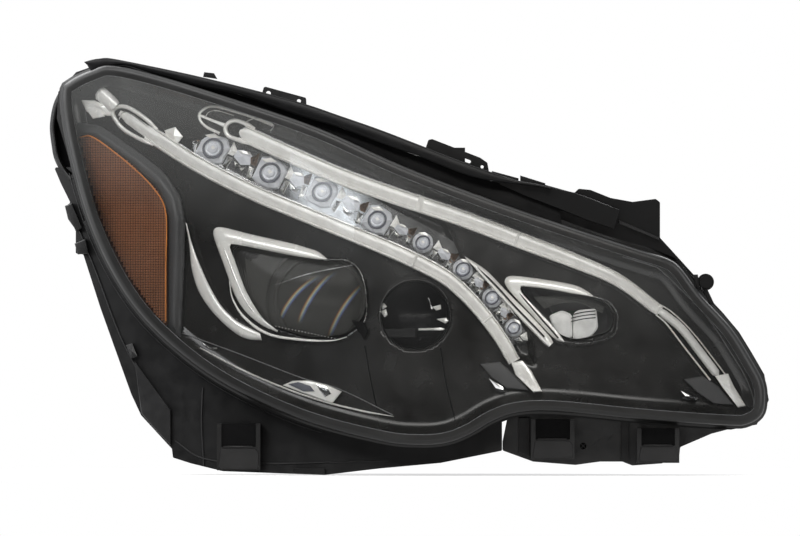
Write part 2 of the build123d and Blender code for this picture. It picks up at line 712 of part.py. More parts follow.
with BuildPart() as marker_bulb:
    post(*MARKER, HOUSING_BACK - 30, HOUSING_BACK - 6, 4.6)
    fillet(marker_bulb.faces().sort_by(Axis.Y)[0].edges(), 4)
keep(marker_bulb, "marker_bulb")

for name, x0, x1, z0, z1 in (("lamp_driver", -258, -186, -140, -30), ("signal_driver", 6, 58, -188, -92)):
    with BuildPart() as driver:
        block(x0, x1, HOUSING_BACK, HOUSING_BACK + 14, z0, z1)
        fillet(driver.edges().filter_by(Axis.Y), 4)
        count = int((z1 - z0) / 8)
        for step in range(count):
            z = z0 + 5 + step * (z1 - z0 - 10) / (count - 1)
            block(x0 + 5, x1 - 5, HOUSING_BACK + 14, HOUSING_BACK + 20, z - 1.2, z + 1.2)
    keep(driver, name)

with BuildPart() as main_connector:
    block(-60, -18, HOUSING_BACK, HOUSING_BACK + 18, -84, -58)
    fillet(main_connector.edges().filter_by(Axis.Y), 2)
    block(-57, -21, HOUSING_BACK + 4, HOUSING_BACK + 18, -81, -61, mode=Mode.SUBTRACT)
    for x in (-50, -44, -38, -32, -26):
        for z in (-67, -75):
            block(x - 0.8, x + 0.8, HOUSING_BACK + 4, HOUSING_BACK + 13, z - 0.8, z + 0.8)
keep(main_connector, "main_connector")

with BuildPart() as connector_lock:
    block(-56, -22, HOUSING_BACK + 3, HOUSING_BACK + 16, -57.7, -55)
    block(-56, -22, HOUSING_BACK + 12, HOUSING_BACK + 16, -55, -52)
keep(connector_lock, "connector_lock")

with BuildPart() as breather_caps:
    for x, z in ((-300, 25), (40, -74)):
        post(x, z, HOUSING_BACK, HOUSING_BACK + 6, 6)
        post(x, z, HOUSING_BACK + 6, HOUSING_BACK + 10, 9)
keep(breather_caps, "breather_caps")

for name, part in parts.items():
    export_step(part, f"parts/{name}.step")
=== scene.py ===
"""A car's right-hand headlight on a pale floor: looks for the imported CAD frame. Design values are in
millimetres of the front view, X and Z, and depths in millimetres behind the cover's outer surface."""

import json
import math

import bmesh
import bpy
import numpy as np
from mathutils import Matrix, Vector
from mathutils.geometry import delaunay_2d_cdt


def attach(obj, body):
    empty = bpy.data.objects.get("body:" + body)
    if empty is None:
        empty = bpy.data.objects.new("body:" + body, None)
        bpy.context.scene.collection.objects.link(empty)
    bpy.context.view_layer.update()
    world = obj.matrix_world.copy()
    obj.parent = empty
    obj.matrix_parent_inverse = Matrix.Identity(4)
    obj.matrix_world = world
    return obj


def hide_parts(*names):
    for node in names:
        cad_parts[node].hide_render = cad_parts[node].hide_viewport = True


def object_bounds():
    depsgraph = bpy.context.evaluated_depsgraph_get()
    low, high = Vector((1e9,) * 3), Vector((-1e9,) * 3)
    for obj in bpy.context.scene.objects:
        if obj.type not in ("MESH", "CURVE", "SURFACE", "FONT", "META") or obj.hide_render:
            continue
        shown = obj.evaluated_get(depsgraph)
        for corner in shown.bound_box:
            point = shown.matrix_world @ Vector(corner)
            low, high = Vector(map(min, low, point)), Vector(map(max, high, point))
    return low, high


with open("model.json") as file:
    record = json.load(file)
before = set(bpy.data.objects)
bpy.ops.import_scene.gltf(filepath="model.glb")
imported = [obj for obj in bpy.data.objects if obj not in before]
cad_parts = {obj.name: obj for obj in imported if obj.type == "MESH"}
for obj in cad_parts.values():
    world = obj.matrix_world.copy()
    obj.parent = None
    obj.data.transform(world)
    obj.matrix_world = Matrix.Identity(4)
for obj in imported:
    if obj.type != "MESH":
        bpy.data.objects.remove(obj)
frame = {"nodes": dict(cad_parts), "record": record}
cad_low, cad_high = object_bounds()
NODES = frame["nodes"]
MM = 0.001

# The cover's outer surface, as the CAD has it: a drum about a nearly upright axis that leans back.
DRUM_X, DRUM_Y, DRUM_Z = 58, 530, -162
DRUM_R = 620
LEAN = math.radians(8)
SKIRT = 35


# ---------------------------------------------------------------- shape helpers
def xz(*values):
    """Points of the front view, from the X and Z of each in turn."""
    return tuple(zip(values[::2], values[1::2]))


def lens_point(x, z, depth=0.0):
    """The point at (x, z) of the front view that lies `depth` behind the cover's surface, in metres."""
    reach = (DRUM_R - depth) ** 2 - (x - DRUM_X) ** 2
    y = DRUM_Y + ((z - DRUM_Z) * math.sin(LEAN) - math.sqrt(max(reach, 1.0))) / math.cos(LEAN)
    return Vector((x, y, z)) * MM


def flat_point(x, z, y):
    """The point (x, z) of the front view at this Y, in metres."""
    return Vector((x, y, z)) * MM


LENS_OUTLINE = xz(-355.5, 52, -348, 63, -328, 72.5, -309, 76.5, -265.5, 66.6, -193.5, 44, -121.5, 19,
    -49.5, -13.5, 22.5, -41.4, 94.5, -66.6, 166.5, -90, 190, -97.5, 202, -106, 221, -131, 247.5, -160,
    266, -189, 276, -208, 278, -224, 275, -238, 263, -246, 245, -247.3, 166.5, -241.7, 110, -236, 75, -234,
    50, -236.7, 31.5, -244, 13.5, -254.7, -7, -262.5, -31.5, -264.6, -67.5, -261, -139.5, -241.7,
    -211.5, -208, -265.5, -166.5, -301.5, -122.4, -330.3, -63, -350, 9)


def smooth(points, per, closed=False):
    """A smooth line through the points, with `per` steps from each to the next."""
    pts = [Vector(p) for p in points]
    n = len(pts)
    out = []
    for i in range(n if closed else n - 1):
        if closed:
            a, b, c, d = pts[i - 1], pts[i], pts[(i + 1) % n], pts[(i + 2) % n]
        else:
            b, c = pts[i], pts[i + 1]
            a = pts[i - 1] if i else b * 2 - c
            d = pts[i + 2] if i + 2 < n else c * 2 - b
        for k in range(per):
            t = k / per
            bend, twist = 2 * a - 5 * b + 4 * c - d, 3 * b - a - 3 * c + d
            out.append(0.5 * (2 * b + (c - a) * t + bend * t * t + twist * t**3))
    if not closed:
        out.append(pts[-1])
    return out


def rounded(points, radius, steps=6):
    """A closed outline with each corner rounded."""
    pts = [Vector(p) for p in points]
    out = []
    for i, p in enumerate(pts):
        before, after = pts[i - 1] - p, pts[(i + 1) % len(pts)] - p
        reach = min(radius, before.length * 0.45, after.length * 0.45)
        a, b = p + before.normalized() * reach, p + after.normalized() * reach
        for k in range(steps + 1):
            t = k / steps
            out.append(a * (1 - t) ** 2 + p * 2 * t * (1 - t) + b * t * t)
    return out


def spaced(points, gap, closed=False):
    """The same line with its points about `gap` apart."""
    pts = list(points) + ([points[0]] if closed else [])
    lengths = [0.0]
    for a, b in zip(pts, pts[1:]):
        lengths.append(lengths[-1] + (b - a).length)
    count = max(2, round(lengths[-1] / gap))
    out, j = [], 0
    for k in range(count if closed else count + 1):
        s = lengths[-1] * k / count
        while j < len(pts) - 2 and lengths[j + 1] < s:
            j += 1
        span = lengths[j + 1] - lengths[j] or 1.0
        out.append(pts[j].lerp(pts[j + 1], (s - lengths[j]) / span))
    return out


def normals(points, closed=False):
    """The direction to the left of the line at each point."""
    out, n = [], len(points)
    for i in range(n):
        a = points[i - 1] if closed or i else points[0]
        b = points[(i + 1) % n] if closed or i + 1 < n else points[-1]
        t = (b - a).normalized()
        out.append(Vector((-t.y, t.x)))
    return out


def grown(points, amount):
    """A closed clockwise outline, `amount` larger all round."""
    return [p + n * amount for p, n in zip(points, normals(points, closed=True))]


def inside(points, outline):
    """For each (x, z) row, whether it lies in the closed outline."""
    poly = np.array([(p[0], p[1]) for p in outline])
    x, z = points[:, 0], points[:, 1]
    hit = np.zeros(len(points), bool)
    for (ax, az), (bx, bz) in zip(poly, np.roll(poly, -1, axis=0)):
        if az != bz:
            hit ^= ((az > z) != (bz > z)) & (x < (bx - ax) * (z - az) / (bz - az) + ax)
    return hit


def away(points, outline):
    """For each (x, z) row, its distance from the closed outline."""
    poly = np.array([(p[0], p[1]) for p in outline])
    best = np.full(len(points), 1e9)
    for a, b in zip(poly, np.roll(poly, -1, axis=0)):
        run = b - a
        t = np.clip(((points - a) @ run) / max(run @ run, 1e-9), 0, 1)
        best = np.minimum(best, np.hypot(*(points - a - t[:, None] * run).T))
    return best


def ease(t):
    """Smooth step from 0 to 1."""
    t = np.clip(t, 0, 1)
    return t * t * (3 - 2 * t)


# ---------------------------------------------------------------- mesh helpers
def finish_mesh(name, verts, faces, look, body="housing", node=None, slot=None, sharp=35):
    """Makes the object, shades it smooth below the sharp angle, and parents it to its body's empty. The slot
    is worked out, the look's usual one when it is None, and not used."""
    mesh = bpy.data.meshes.new(name)
    mesh.from_pydata([tuple(v) for v in verts], [], [tuple(f) for f in faces])
    mesh.validate()
    bm = bmesh.new()
    bm.from_mesh(mesh)
    bmesh.ops.recalc_face_normals(bm, faces=bm.faces)
    for e in bm.edges:
        e.smooth = not (len(e.link_faces) == 2 and e.calc_face_angle(0) > math.radians(sharp))
    for f in bm.faces:
        f.smooth = True
    bm.to_mesh(mesh)
    bm.free()
    obj = bpy.data.objects.new(name, mesh)
    bpy.context.scene.collection.objects.link(obj)
    mesh.materials.append(M[look])
    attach(obj, body)
    if node:
        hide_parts(node)
    slot = LOOK_SLOTS[look] if slot is None else slot
    return obj


def bevel(obj, width):
    """Rounds an object's sharp edges, width in mm."""
    mod = obj.modifiers.new("edges", "BEVEL")
    mod.width = width * MM
    mod.segments = 2
    mod.limit_method = "ANGLE"
    mod.angle_limit = math.radians(40)
    mod.harden_normals = False


def solid(obj, thickness, offset=-1):
    """Gives a sheet its thickness, in mm."""
    mod = obj.modifiers.new("wall", "SOLIDIFY")
    mod.thickness = thickness * MM
    mod.offset = offset


def ring_faces(count, rings, first=0, closed=False):
    """The quads between rings of `count` vertices each, from the vertex `first` on."""
    faces = []
    for i in range(rings if closed else rings - 1):
        a, b = first + i * count, first + (i + 1) % rings * count
        faces += [(a + j, a + (j + 1) % count, b + (j + 1) % count, b + j) for j in range(count)]
    return faces


def loops(name, rings, look, cap_first=False, cap_last=False, closed=False, **kw):
    """A skin through rings of equal count; each ring is a list of points in metres."""
    m = len(rings[0])
    faces = ring_faces(m, len(rings), closed=closed)
    if cap_first:
        faces.append(tuple(range(m)))
    if cap_last:
        faces.append(tuple(range((len(rings) - 1) * m, len(rings) * m)))
    return finish_mesh(name, [p for ring in rings for p in ring], faces, look, **kw)


def lens_ring(points, depth):
    """The points of the front view, all at one depth behind the cover."""
    return [lens_point(p.x, p.y, depth) for p in points]


def sweep(name, path, section, depth, look, closed=False, scale=None, **kw):
    """A rail along a front-view line. section holds (across, towards the viewer) points in mm, in
    order round the rail, and scale(s) gives its width and height factors at s from 0 to 1."""
    last = len(path) if closed else len(path) - 1
    rings = []
    for i, (p, side) in enumerate(zip(path, normals(path, closed))):
        w, h = scale(i / last) if scale else (1.0, 1.0)
        base = depth(p.x, p.y) if callable(depth) else depth
        across = [(p + side * u * w, base - v * h) for u, v in section]
        rings.append([lens_point(q.x, q.y, d) for q, d in across])
    return loops(name, rings, look, not closed, not closed, closed, **kw)


def arc_section(width, height, steps=8, foot=0.0):
    """A rounded cross-section: flat back, domed front."""
    turns = [math.pi * (1 - k / steps) for k in range(steps + 1)]
    out = [(math.cos(a) * width / 2, math.sin(a) * height) for a in turns]
    return [(-width / 2, -foot), *out, (width / 2, -foot)] if foot else out


# A sheet's grid: the gap between its rows and its clearance from the outlines, as shares of its step.
ROW_GAP = 0.866
CLEARANCE = 0.45


def sheet_mesh(outline, holes, step, depth_of):
    """(verts, faces) of a sheet over the outline less the holes; depth_of gives each row's depth."""
    lo = np.min([(p[0], p[1]) for p in outline], axis=0)
    hi = np.max([(p[0], p[1]) for p in outline], axis=0)
    xs = np.arange(lo[0] + step / 2, hi[0], step)
    zs = np.arange(lo[1] + step / 2, hi[1], step * ROW_GAP)
    grid = np.array([(x + (step / 2 if j % 2 else 0), z) for j, z in enumerate(zs) for x in xs])
    keep = inside(grid, outline) & (away(grid, outline) > step * CLEARANCE)
    for hole in holes:
        keep &= ~inside(grid, hole) & (away(grid, hole) > step * CLEARANCE)
    pts, edges = [Vector(p) for p in grid[keep].tolist()], []
    for loop in [outline, *holes]:
        start = len(pts)
        pts += [Vector((p[0], p[1])) for p in loop]
        edges += [(start + i, start + (i + 1) % len(loop)) for i in range(len(loop))]
    flat, _, tris, *_ = delaunay_2d_cdt(pts, edges, [], 0, 1e-5)
    rows = np.array([(p.x, p.y) for p in flat])
    mid = np.array([rows[list(t)].mean(axis=0) for t in tris])
    good = inside(mid, outline)
    for hole in holes:
        good &= ~inside(mid, hole)
    depths = depth_of(rows)
    verts = [lens_point(x, z, d) for (x, z), d in zip(rows, depths)]
    return verts, [t for t, ok in zip(tris, good) if ok]


def panel(name, outline, holes, step, depth_of, look, thickness=None, **kw):
    """A sheet in front view, bent to the lens's surface."""
    verts, faces = sheet_mesh(outline, holes, step, depth_of)
    obj = finish_mesh(name, verts, faces, look, **kw)
    if thickness:
        solid(obj, thickness)
    return obj


def level(value):
    """A depth function for a sheet that lies evenly behind the lens."""
    return lambda rows: np.full(len(rows), float(value))


# ---------------------------------------------------------------- material helpers
def new_material(name):
    """(material, its node tree, its Principled node)"""
    mat = bpy.data.materials.new(name)
    mat.use_nodes = True
    return mat, mat.node_tree, mat.node_tree.nodes["Principled BSDF"]


def fill(tree, node, inputs):
    """Gives the node's inputs their values, or joins them to other nodes' sockets."""
    for key, value in inputs.items():
        if isinstance(value, bpy.types.NodeSocket):
            tree.links.new(value, node.inputs[key])
        else:
            node.inputs[key].default_value = value


def add(tree, kind, inputs, **settings):
    """The outputs of a new node with these inputs and settings."""
    node = tree.nodes.new("ShaderNode" + kind)
    for key, value in settings.items():
        setattr(node, key, value)
    fill(tree, node, inputs)
    return node.outputs


def place(tree, coords="Object"):
    """The shaded point's coordinates."""
    return add(tree, "TexCoord", {})[coords]


def axes(tree, coords="Object"):
    """The shaded point's X, Y and Z, as sockets by name."""
    return add(tree, "SeparateXYZ", {"Vector": place(tree, coords)})


def noise(tree, size, detail):
    """A noise factor whose features are about `size` mm across."""
    return add(tree, "TexNoise", {"Vector": place(tree), "Scale": 1 / (size * MM), "Detail": detail})["Fac"]


def ranged(tree, factor, low, high, start=0.3, end=0.7):
    """The factor mapped from start..end to low..high."""
    ends = {"From Min": start, "From Max": end, "To Min": low, "To Max": high}
    return add(tree, "MapRange", {"Value": factor, **ends})["Result"]


def maths(tree, operation, *values):
    """One Math node; the values are sockets or numbers."""
    return add(tree, "Math", dict(enumerate(values)), operation=operation)["Value"]


def colours(tree, factor, stops):
    """A colour ramp; stops holds (place, colour)."""
    node = tree.nodes.new("ShaderNodeValToRGB")
    ramp = node.color_ramp
    while len(ramp.elements) < len(stops):
        ramp.elements.new(0.5)
    for element, (position, colour) in zip(ramp.elements, stops):
        element.position = position
        element.color = (*colour, 1)
    fill(tree, node, {"Fac": factor})
    return node.outputs["Color"]


def scaled(colour, factor):
    """The colour made lighter or darker."""
    return tuple(min(1, c * factor) for c in colour)


def mottled(tree, size, detail, low, high):
    """A colour between two, in patches of `size` mm."""
    return colours(tree, noise(tree, size, detail), ((0.3, low), (0.7, high)))


def mixed(tree, factor, first, second):
    """The first shader, with this share of the second."""
    return add(tree, "MixShader", {0: factor, 1: first, 2: second})[0]


def show(tree, shader, output="Material Output"):
    """Makes the shader the one that is seen."""
    fill(tree, tree.nodes[output], {"Surface": shader})


def bump(tree, bsdf, height, strength, distance=0.1):
    """Gives the shader a bump of this height, in mm."""
    inputs = {"Strength": strength, "Distance": distance * MM, "Height": height}
    fill(tree, bsdf, {"Normal": add(tree, "Bump", inputs)["Normal"]})


def surface(
    name, colour, rough=0.4, metal=0.0, mottle=0.2, patch=25, grain=0.2, grain_size=0.5, smudge=0.06,
    coat=0.0, gloss=0.5,
):
    """A material with mottled colour, uneven gloss and a fine grain. Sizes in mm."""
    mat, tree, bsdf = new_material(name)
    fill(tree, bsdf, {
        "Base Color": mottled(tree, patch, 5, scaled(colour, 1 - mottle), scaled(colour, 1 + mottle)),
        "Roughness": ranged(tree, noise(tree, patch * 0.4, 4), max(0.02, rough - smudge), rough + smudge),
        "Metallic": metal, "Specular IOR Level": gloss, "Coat Weight": coat, "Coat Roughness": 0.05,
    })
    if grain:
        bump(tree, bsdf, noise(tree, grain_size, 2), grain)
    return mat


def see_through(name, amount, tint, colour, rough=0.05, waves=6.0, wave_strength=0.05, gloss=0.5):
    """Clear plastic: `amount` of what is behind shows, tinted, and the rest is the glossy body."""
    mat, tree, bsdf = new_material(name)
    fill(tree, bsdf, {
        "Base Color": mottled(tree, 9, 3, scaled(colour, 0.8), colour),
        "Roughness": ranged(tree, noise(tree, 25, 2), rough * 0.8, rough * 1.3),
        "Specular IOR Level": gloss,
    })
    if wave_strength:
        bump(tree, bsdf, noise(tree, waves, 1), wave_strength, 0.5)
    clear = add(tree, "BsdfTransparent", {"Color": (*tint, 1)})[0]
    facing = add(tree, "LayerWeight", {"Blend": 0.3})["Facing"]
    show(tree, mixed(tree, ranged(tree, facing, 1 - amount, 1.0, 0.0, 1.0), clear, bsdf.outputs[0]))
    return mat


# The fall of the cover's upper edge to the right, and how strong the painted reflection below it is: a milky
# veil in the cover's colour that stands in for reflected light.
EDGE_SLOPE = 0.327
PAINTED_REFLECTION = 0.066


def cover_material():
    """The clear cover: it reflects as polycarbonate does, with fine dust, and a painted reflection as a milky
    veil at its upper edge.
    """
    mat, tree, bsdf = new_material("clear_cover")
    fill(tree, bsdf, {"Base Color": (0.62, 0.635, 0.63, 1), "Roughness": 0.6})
    point = axes(tree)
    # The painted reflection is measured square to the upper edge.
    below_edge = maths(tree, "ADD", point["Z"], maths(tree, "MULTIPLY", point["X"], EDGE_SLOPE))
    down = ranged(tree, below_edge, 0.0, 1.0, -0.15, -0.05)
    across = ranged(tree, point["X"], 1.0, 0.28, -0.30, 0.0)
    painted_reflection_amount = maths(tree, "MULTIPLY", maths(tree, "MULTIPLY", down, across), PAINTED_REFLECTION)
    # Fine dust, with the painted reflection added to it.
    dust_and_reflection = maths(tree, "ADD", ranged(tree, noise(tree, 60, 4), 0.004, 0.014), painted_reflection_amount)
    clear = add(tree, "BsdfTransparent", {"Color": (0.97, 0.975, 0.98, 1)})[0]
    rough = ranged(tree, noise(tree, 40, 3), 0.015, 0.035)
    gloss = add(tree, "BsdfGlossy", {"Color": (1, 1, 1, 1), "Roughness": rough})[0]
    fresnel = maths(tree, "MULTIPLY", add(tree, "Fresnel", {"IOR": 1.5})[0], 1.2)
    show(tree, mixed(tree, fresnel, mixed(tree, dust_and_reflection, clear, bsdf.outputs[0]), gloss))
    return mat


def guide_material():
    """The light guide: milky plastic with fine ribs across it."""
    mat, tree, bsdf = new_material("milky_guide")
    rib_gap = 2.2 * MM
    wave = {"Vector": place(tree), "Scale": 2 * math.pi / rib_gap / 20, "Distortion": 0.4, "Detail": 1}
    fill(tree, bsdf, {
        "Base Color": mottled(tree, 14, 4, (0.72, 0.71, 0.68), (0.84, 0.835, 0.80)),
        "Roughness": ranged(tree, noise(tree, 6, 3), 0.16, 0.32), "Coat Weight": 0.6, "Coat Roughness": 0.08,
    })
    bump(tree, bsdf, add(tree, "TexWave", wave)["Fac"], 0.12, 0.2)
    return mat


# The colours across a painted arc of split light, and half the arc's width.
SPECTRUM = (
    (0.0, (0, 0, 0)), (0.2, (0.10, 0.13, 0.42)), (0.38, (0.22, 0.38, 0.42)), (0.52, (0.62, 0.62, 0.50)),
    (0.68, (0.55, 0.40, 0.14)), (0.84, (0.30, 0.08, 0.03)), (1.0, (0, 0, 0)),
)
ARC_HALF = 2.6


def glass_material(name, colour, arcs=()):
    """Dark lamp glass, with broad arcs of split light painted into its colour. An arc is (X, Z, radius, low
    Z, high Z) in mm.
    """
    mat, tree, bsdf = new_material(name)
    point = axes(tree)
    base = mottled(tree, 25, 2, scaled(colour, 0.7), scaled(colour, 1.3))
    for cx, cz, radius, low_z, high_z in arcs:
        offsets = [maths(tree, "SUBTRACT", point[axis], c * MM) for axis, c in (("X", cx), ("Z", cz))]
        reach = maths(tree, "SQRT", maths(tree, "ADD", *(maths(tree, "POWER", d, 2.0) for d in offsets)))
        across = ranged(tree, reach, 0, 1, (radius - ARC_HALF) * MM, (radius + ARC_HALF) * MM)
        foot = ranged(tree, point["Z"], 0, 1, low_z * MM, (low_z + 10) * MM)
        top = ranged(tree, point["Z"], 1, 0, (high_z - 12) * MM, high_z * MM)
        side = maths(tree, "LESS_THAN", point["X"], cx * MM)
        window = maths(tree, "MULTIPLY", maths(tree, "MULTIPLY", foot, top), side)
        inputs = {0: window, 6: base, 7: colours(tree, across, SPECTRUM)}
        base = add(tree, "Mix", inputs, data_type="RGBA", blend_type="ADD")[2]
    rough = ranged(tree, noise(tree, 20, 2), 0.08, 0.14)
    fill(tree, bsdf, {"Base Color": base, "Roughness": rough, "Specular IOR Level": 0.12})
    return mat


M = {
    "housing": surface("moulded_black", (0.0052, 0.0052, 0.0054), 0.40, mottle=0.3, grain=0.3, grain_size=0.7,
        gloss=0.18),
    "bracket": surface("bracket_black", (0.0045, 0.0045, 0.0047), 0.42, mottle=0.3, grain=0.3, grain_size=0.6,
        gloss=0.17),
    # A slightly lighter, glossier copy of the black plastic for raised parts and edge lines: painted light
    # where they would catch it.
    "ridge": surface("ridge_black_painted_light", (0.0080, 0.0080, 0.0083), 0.40, mottle=0.3, grain=0.3, grain_size=0.6,
        gloss=0.22),
    "gloss": surface("lip_gloss_black", (0.0028, 0.0028, 0.003), 0.36, mottle=0.2, grain=0.03, grain_size=3,
        gloss=0.12),
    "bezel": surface("satin_black_panel", (0.0082, 0.0076, 0.0068), 0.24, mottle=0.25, patch=60, grain=0.04,
        grain_size=0.5),
    "void": surface("deep_black", (0.002, 0.002, 0.0022), 0.5, mottle=0.2, gloss=0.05),
    "chrome": surface("bright_chrome", (0.90, 0.90, 0.89), 0.15, 1.0, mottle=0.03, grain=0.03, grain_size=6,
        smudge=0.03),
    # Bright trim: chrome drawn as a near-white, barely metallic surface under a clear coat, its reflection
    # painted into its colour.
    "bright": surface("bright_trim_painted_reflection", (0.98, 0.96, 0.915), 0.22, 0.12, mottle=0.05, patch=14,
        grain=0.04, grain_size=7, smudge=0.08, coat=0.8),
    "satin": surface("satin_chrome", (0.62, 0.62, 0.62), 0.26, 1.0, mottle=0.08, grain=0.05, grain_size=2),
    "amber": surface("amber_prism", (0.35, 0.145, 0.068), 0.34, mottle=0.12, patch=30, grain=0.05,
        grain_size=1),
    # A much darker copy of the amber, seen between the pyramids: painted shade in the grooves.
    "amber_shaded": surface("amber_painted_groove_shade", (0.065, 0.020, 0.008), 0.45, mottle=0.12, patch=30, grain=0.05,
        grain_size=1, gloss=0.2),
    "amber_edge": surface("amber_edge", (0.78, 0.27, 0.05), 0.35, mottle=0.1, patch=20, grain=0.05),
    "grey": surface("matte_grey_frame", (0.050, 0.050, 0.051), 0.5, mottle=0.12, patch=40, grain=0.25,
        grain_size=0.4),
    "cover": cover_material(),
    "rim": surface("cover_edge", (0.0075, 0.0075, 0.0074), 0.36, mottle=0.06, patch=90, grain=0.02,
        grain_size=3, gloss=0.25),
    "rim_line": see_through("cover_edge_line", 0.35, (0.8, 0.8, 0.8), (0.42, 0.43, 0.45), 0.25),
    "guide": guide_material(),
    "lamp": see_through("lamp_plastic", 0.26, (0.88, 0.91, 0.97), (0.93, 0.95, 1.0), 0.05, waves=5,
        wave_strength=0.35),
    "ridge_line": surface("edge_line_grey", (0.26, 0.26, 0.265), 0.35, mottle=0.1, grain=0.05),
    "ledge": surface("smooth_grey_ledge", (0.030, 0.030, 0.032), 0.40, mottle=0.08, patch=60, grain=0.02,
        gloss=0.35),
    "shade": surface("lamp_shade", (0.14, 0.145, 0.17), 0.22, mottle=0.2, patch=6, grain=0.02),
    "inner_glass": see_through("inner_glass", 0.84, (0.94, 0.94, 0.93), (0.25, 0.25, 0.235), 0.14, waves=30,
        wave_strength=0.02, gloss=0.3),
    "thin_glass": see_through("thin_glass", 0.95, (0.97, 0.97, 0.97), (0.10, 0.10, 0.10), 0.12,
        wave_strength=0, gloss=0.15),
    "white_lens": see_through("frosted_lens", 0.12, (0.9, 0.9, 0.9), (0.95, 0.95, 0.93), 0.2, waves=2,
        wave_strength=0.3),
    "projector": glass_material("projector_glass", (0.034, 0.034, 0.033), (
        (-83, -183.4, 80.6, -160, -113), (-46.3, -186, 98.8, -156, -109), (-0.6, -206.4, 118.8, -169, -116),
    )),
    "glass": glass_material("lamp_glass", (0.012, 0.012, 0.013)),
    "inner_grey": surface("satin_grey_well", (0.024, 0.0235, 0.0225), 0.34, mottle=0.12, patch=40, grain=0.1,
        gloss=0.3),
    "copper": surface("copper_tint", (0.17, 0.115, 0.085), 0.3, 1.0, mottle=0.3, patch=8),
    "seal": surface("sealant", (0.02, 0.02, 0.02), 0.6, mottle=0.2),
    "board": surface("solder_mask", (0.015, 0.06, 0.03), 0.35, mottle=0.3, patch=6, grain=0.2),
    "gear": surface("grey_nylon", (0.30, 0.30, 0.29), 0.5, mottle=0.1),
    "cast": surface("cast_aluminium", (0.45, 0.46, 0.47), 0.42, 0.9, mottle=0.12, patch=12, grain=0.5,
        grain_size=1.0),
    "sheet": surface("zinc_sheet", (0.55, 0.56, 0.57), 0.33, 1.0, mottle=0.12, patch=14, grain=0.1),
    "white": surface("white_plastic", (0.62, 0.61, 0.57), 0.4, mottle=0.06, grain=0.1),
    "cap": surface("cap_black", (0.018, 0.018, 0.019), 0.38, mottle=0.25, grain=0.3),
}
# The CAD slot that each look mostly belongs to.
LOOK_SLOTS = {
    look: slot
    for slot, looks in {
        "bright_trim": ("bright", "satin", "chrome", "copper"),
        "light_guide": ("guide",),
        "panel_black": ("bezel", "void", "ledge", "ridge_line", "grey", "inner_grey"),
        "lamp_clear": ("lamp", "shade", "inner_glass", "thin_glass", "white_lens", "projector", "glass"),
        "bracket_plastic": ("bracket", "ridge"),
        "housing_plastic": ("housing", "cap"),
        "amber": ("amber", "amber_shaded", "amber_edge"),
        "clear_lens": ("cover", "rim", "rim_line"),
        "sheet_metal": ("sheet",),
        "lip": ("gloss",),
    }.items()
    for look in looks
}
CAD_LOOKS = {
    "housing_plastic": "housing", "bracket_plastic": "bracket", "clear_lens": "rim", "seal": "seal",
    "lip": "gloss", "panel_black": "bezel", "bright_trim": "chrome", "light_guide": "guide", "amber": "amber",
    "frame_grey": "grey", "lamp_clear": "lamp", "board": "board", "gear_plastic": "gear",
    "cast_metal": "cast", "sheet_metal": "sheet", "white_plastic": "white",
}
NODE_LOOKS = {
    "inner_flange": "gloss", "bumper_bracket": "ridge", "low_beam_cap": "cap", "high_beam_cap": "cap",
}
SLOT_OF = {entry["node"]: entry["material_slot"] for entry in frame["record"]["subparts"]}
for node_name, node in NODES.items():
    look = NODE_LOOKS.get(node_name, CAD_LOOKS[SLOT_OF[node_name]])
    node.data.materials.clear()
    node.data.materials.append(M[look])


# ---------------------------------------------------------------- piece helpers
def band(name, edge_a, edge_b, depth, rise, look, count=60, across=8, lean=0.0, thick=2.5, **kw):
    """A domed strip between two lines, each given as a few points. `lean` lifts edge_b's side forward."""
    lines = []
    for points in (edge_a, edge_b):
        fine = smooth(points, 10)
        total = sum((q - p).length for p, q in zip(fine, fine[1:]))
        line = spaced(fine, total / count)
        lines.append(line[: count + 1] if len(line) > count else line + [line[-1]] * (count + 1 - len(line)))
    rings = []
    for a, b in zip(*lines):
        ring = [lens_point(a.x, a.y, depth + thick)]
        for t in (k / across for k in range(across + 1)):
            p = a.lerp(b, t)
            ring.append(lens_point(p.x, p.y, depth - rise * math.sin(math.pi * t) ** 0.45 - lean * t))
        rings.append(ring + [lens_point(b.x, b.y, depth + thick)])
    return loops(name, rings, look, True, True, **kw)


def chip(name, outline, front, back, look, peak=0.0, soft=0.6, at=lens_point, **kw):
    """A small block of the front-view outline, with a broken edge and its middle raised by `peak`."""
    pts = [Vector(p) for p in outline]
    mid = sum(pts, Vector((0, 0))) / len(pts)
    inner = [p + (mid - p).normalized() * soft for p in pts]
    verts = [at(p.x, p.y, y) for line, y in ((pts, back), (pts, front + soft), (inner, front)) for p in line]
    n = len(pts)
    faces = [tuple(range(n))] + ring_faces(n, 3) + [(2 * n + i, 2 * n + (i + 1) % n, 3 * n) for i in range(n)]
    return finish_mesh(name, [*verts, at(mid.x, mid.y, front - peak)], faces, look, **{"sharp": 20, **kw})


def lathe(name, x, z, profile, look, cap_first=False, cap_last=True, **kw):
    """A turned piece about the Y axis through (x, z); profile holds (radius, y) in mm."""
    turns = [2 * math.pi * k / 72 for k in range(72)]
    rings = [[flat_point(x + math.cos(a) * r, z + math.sin(a) * r, y) for a in turns] for r, y in profile]
    return loops(name, rings, look, cap_first, cap_last, **kw)


def polar(outline, x, z, count=120):
    """The outline as `count` points at even angles about (x, z)."""
    poly = [Vector(p) for p in outline]
    centre = Vector((x, z))
    out = []
    for k in range(count):
        a = 2 * math.pi * k / count
        ray = Vector((math.cos(a), math.sin(a)))
        reach = 0
        for p, q in zip(poly, poly[1:] + poly[:1]):
            edge, start = q - p, p - centre
            cross = ray.x * edge.y - ray.y * edge.x
            if abs(cross) > 1e-9:
                t = (start.x * edge.y - start.y * edge.x) / cross
                u = (start.x * ray.y - start.y * ray.x) / cross
                if -1e-6 <= u <= 1.000001 and t > reach:
                    reach = t
        out.append(centre + ray * reach)
    return out


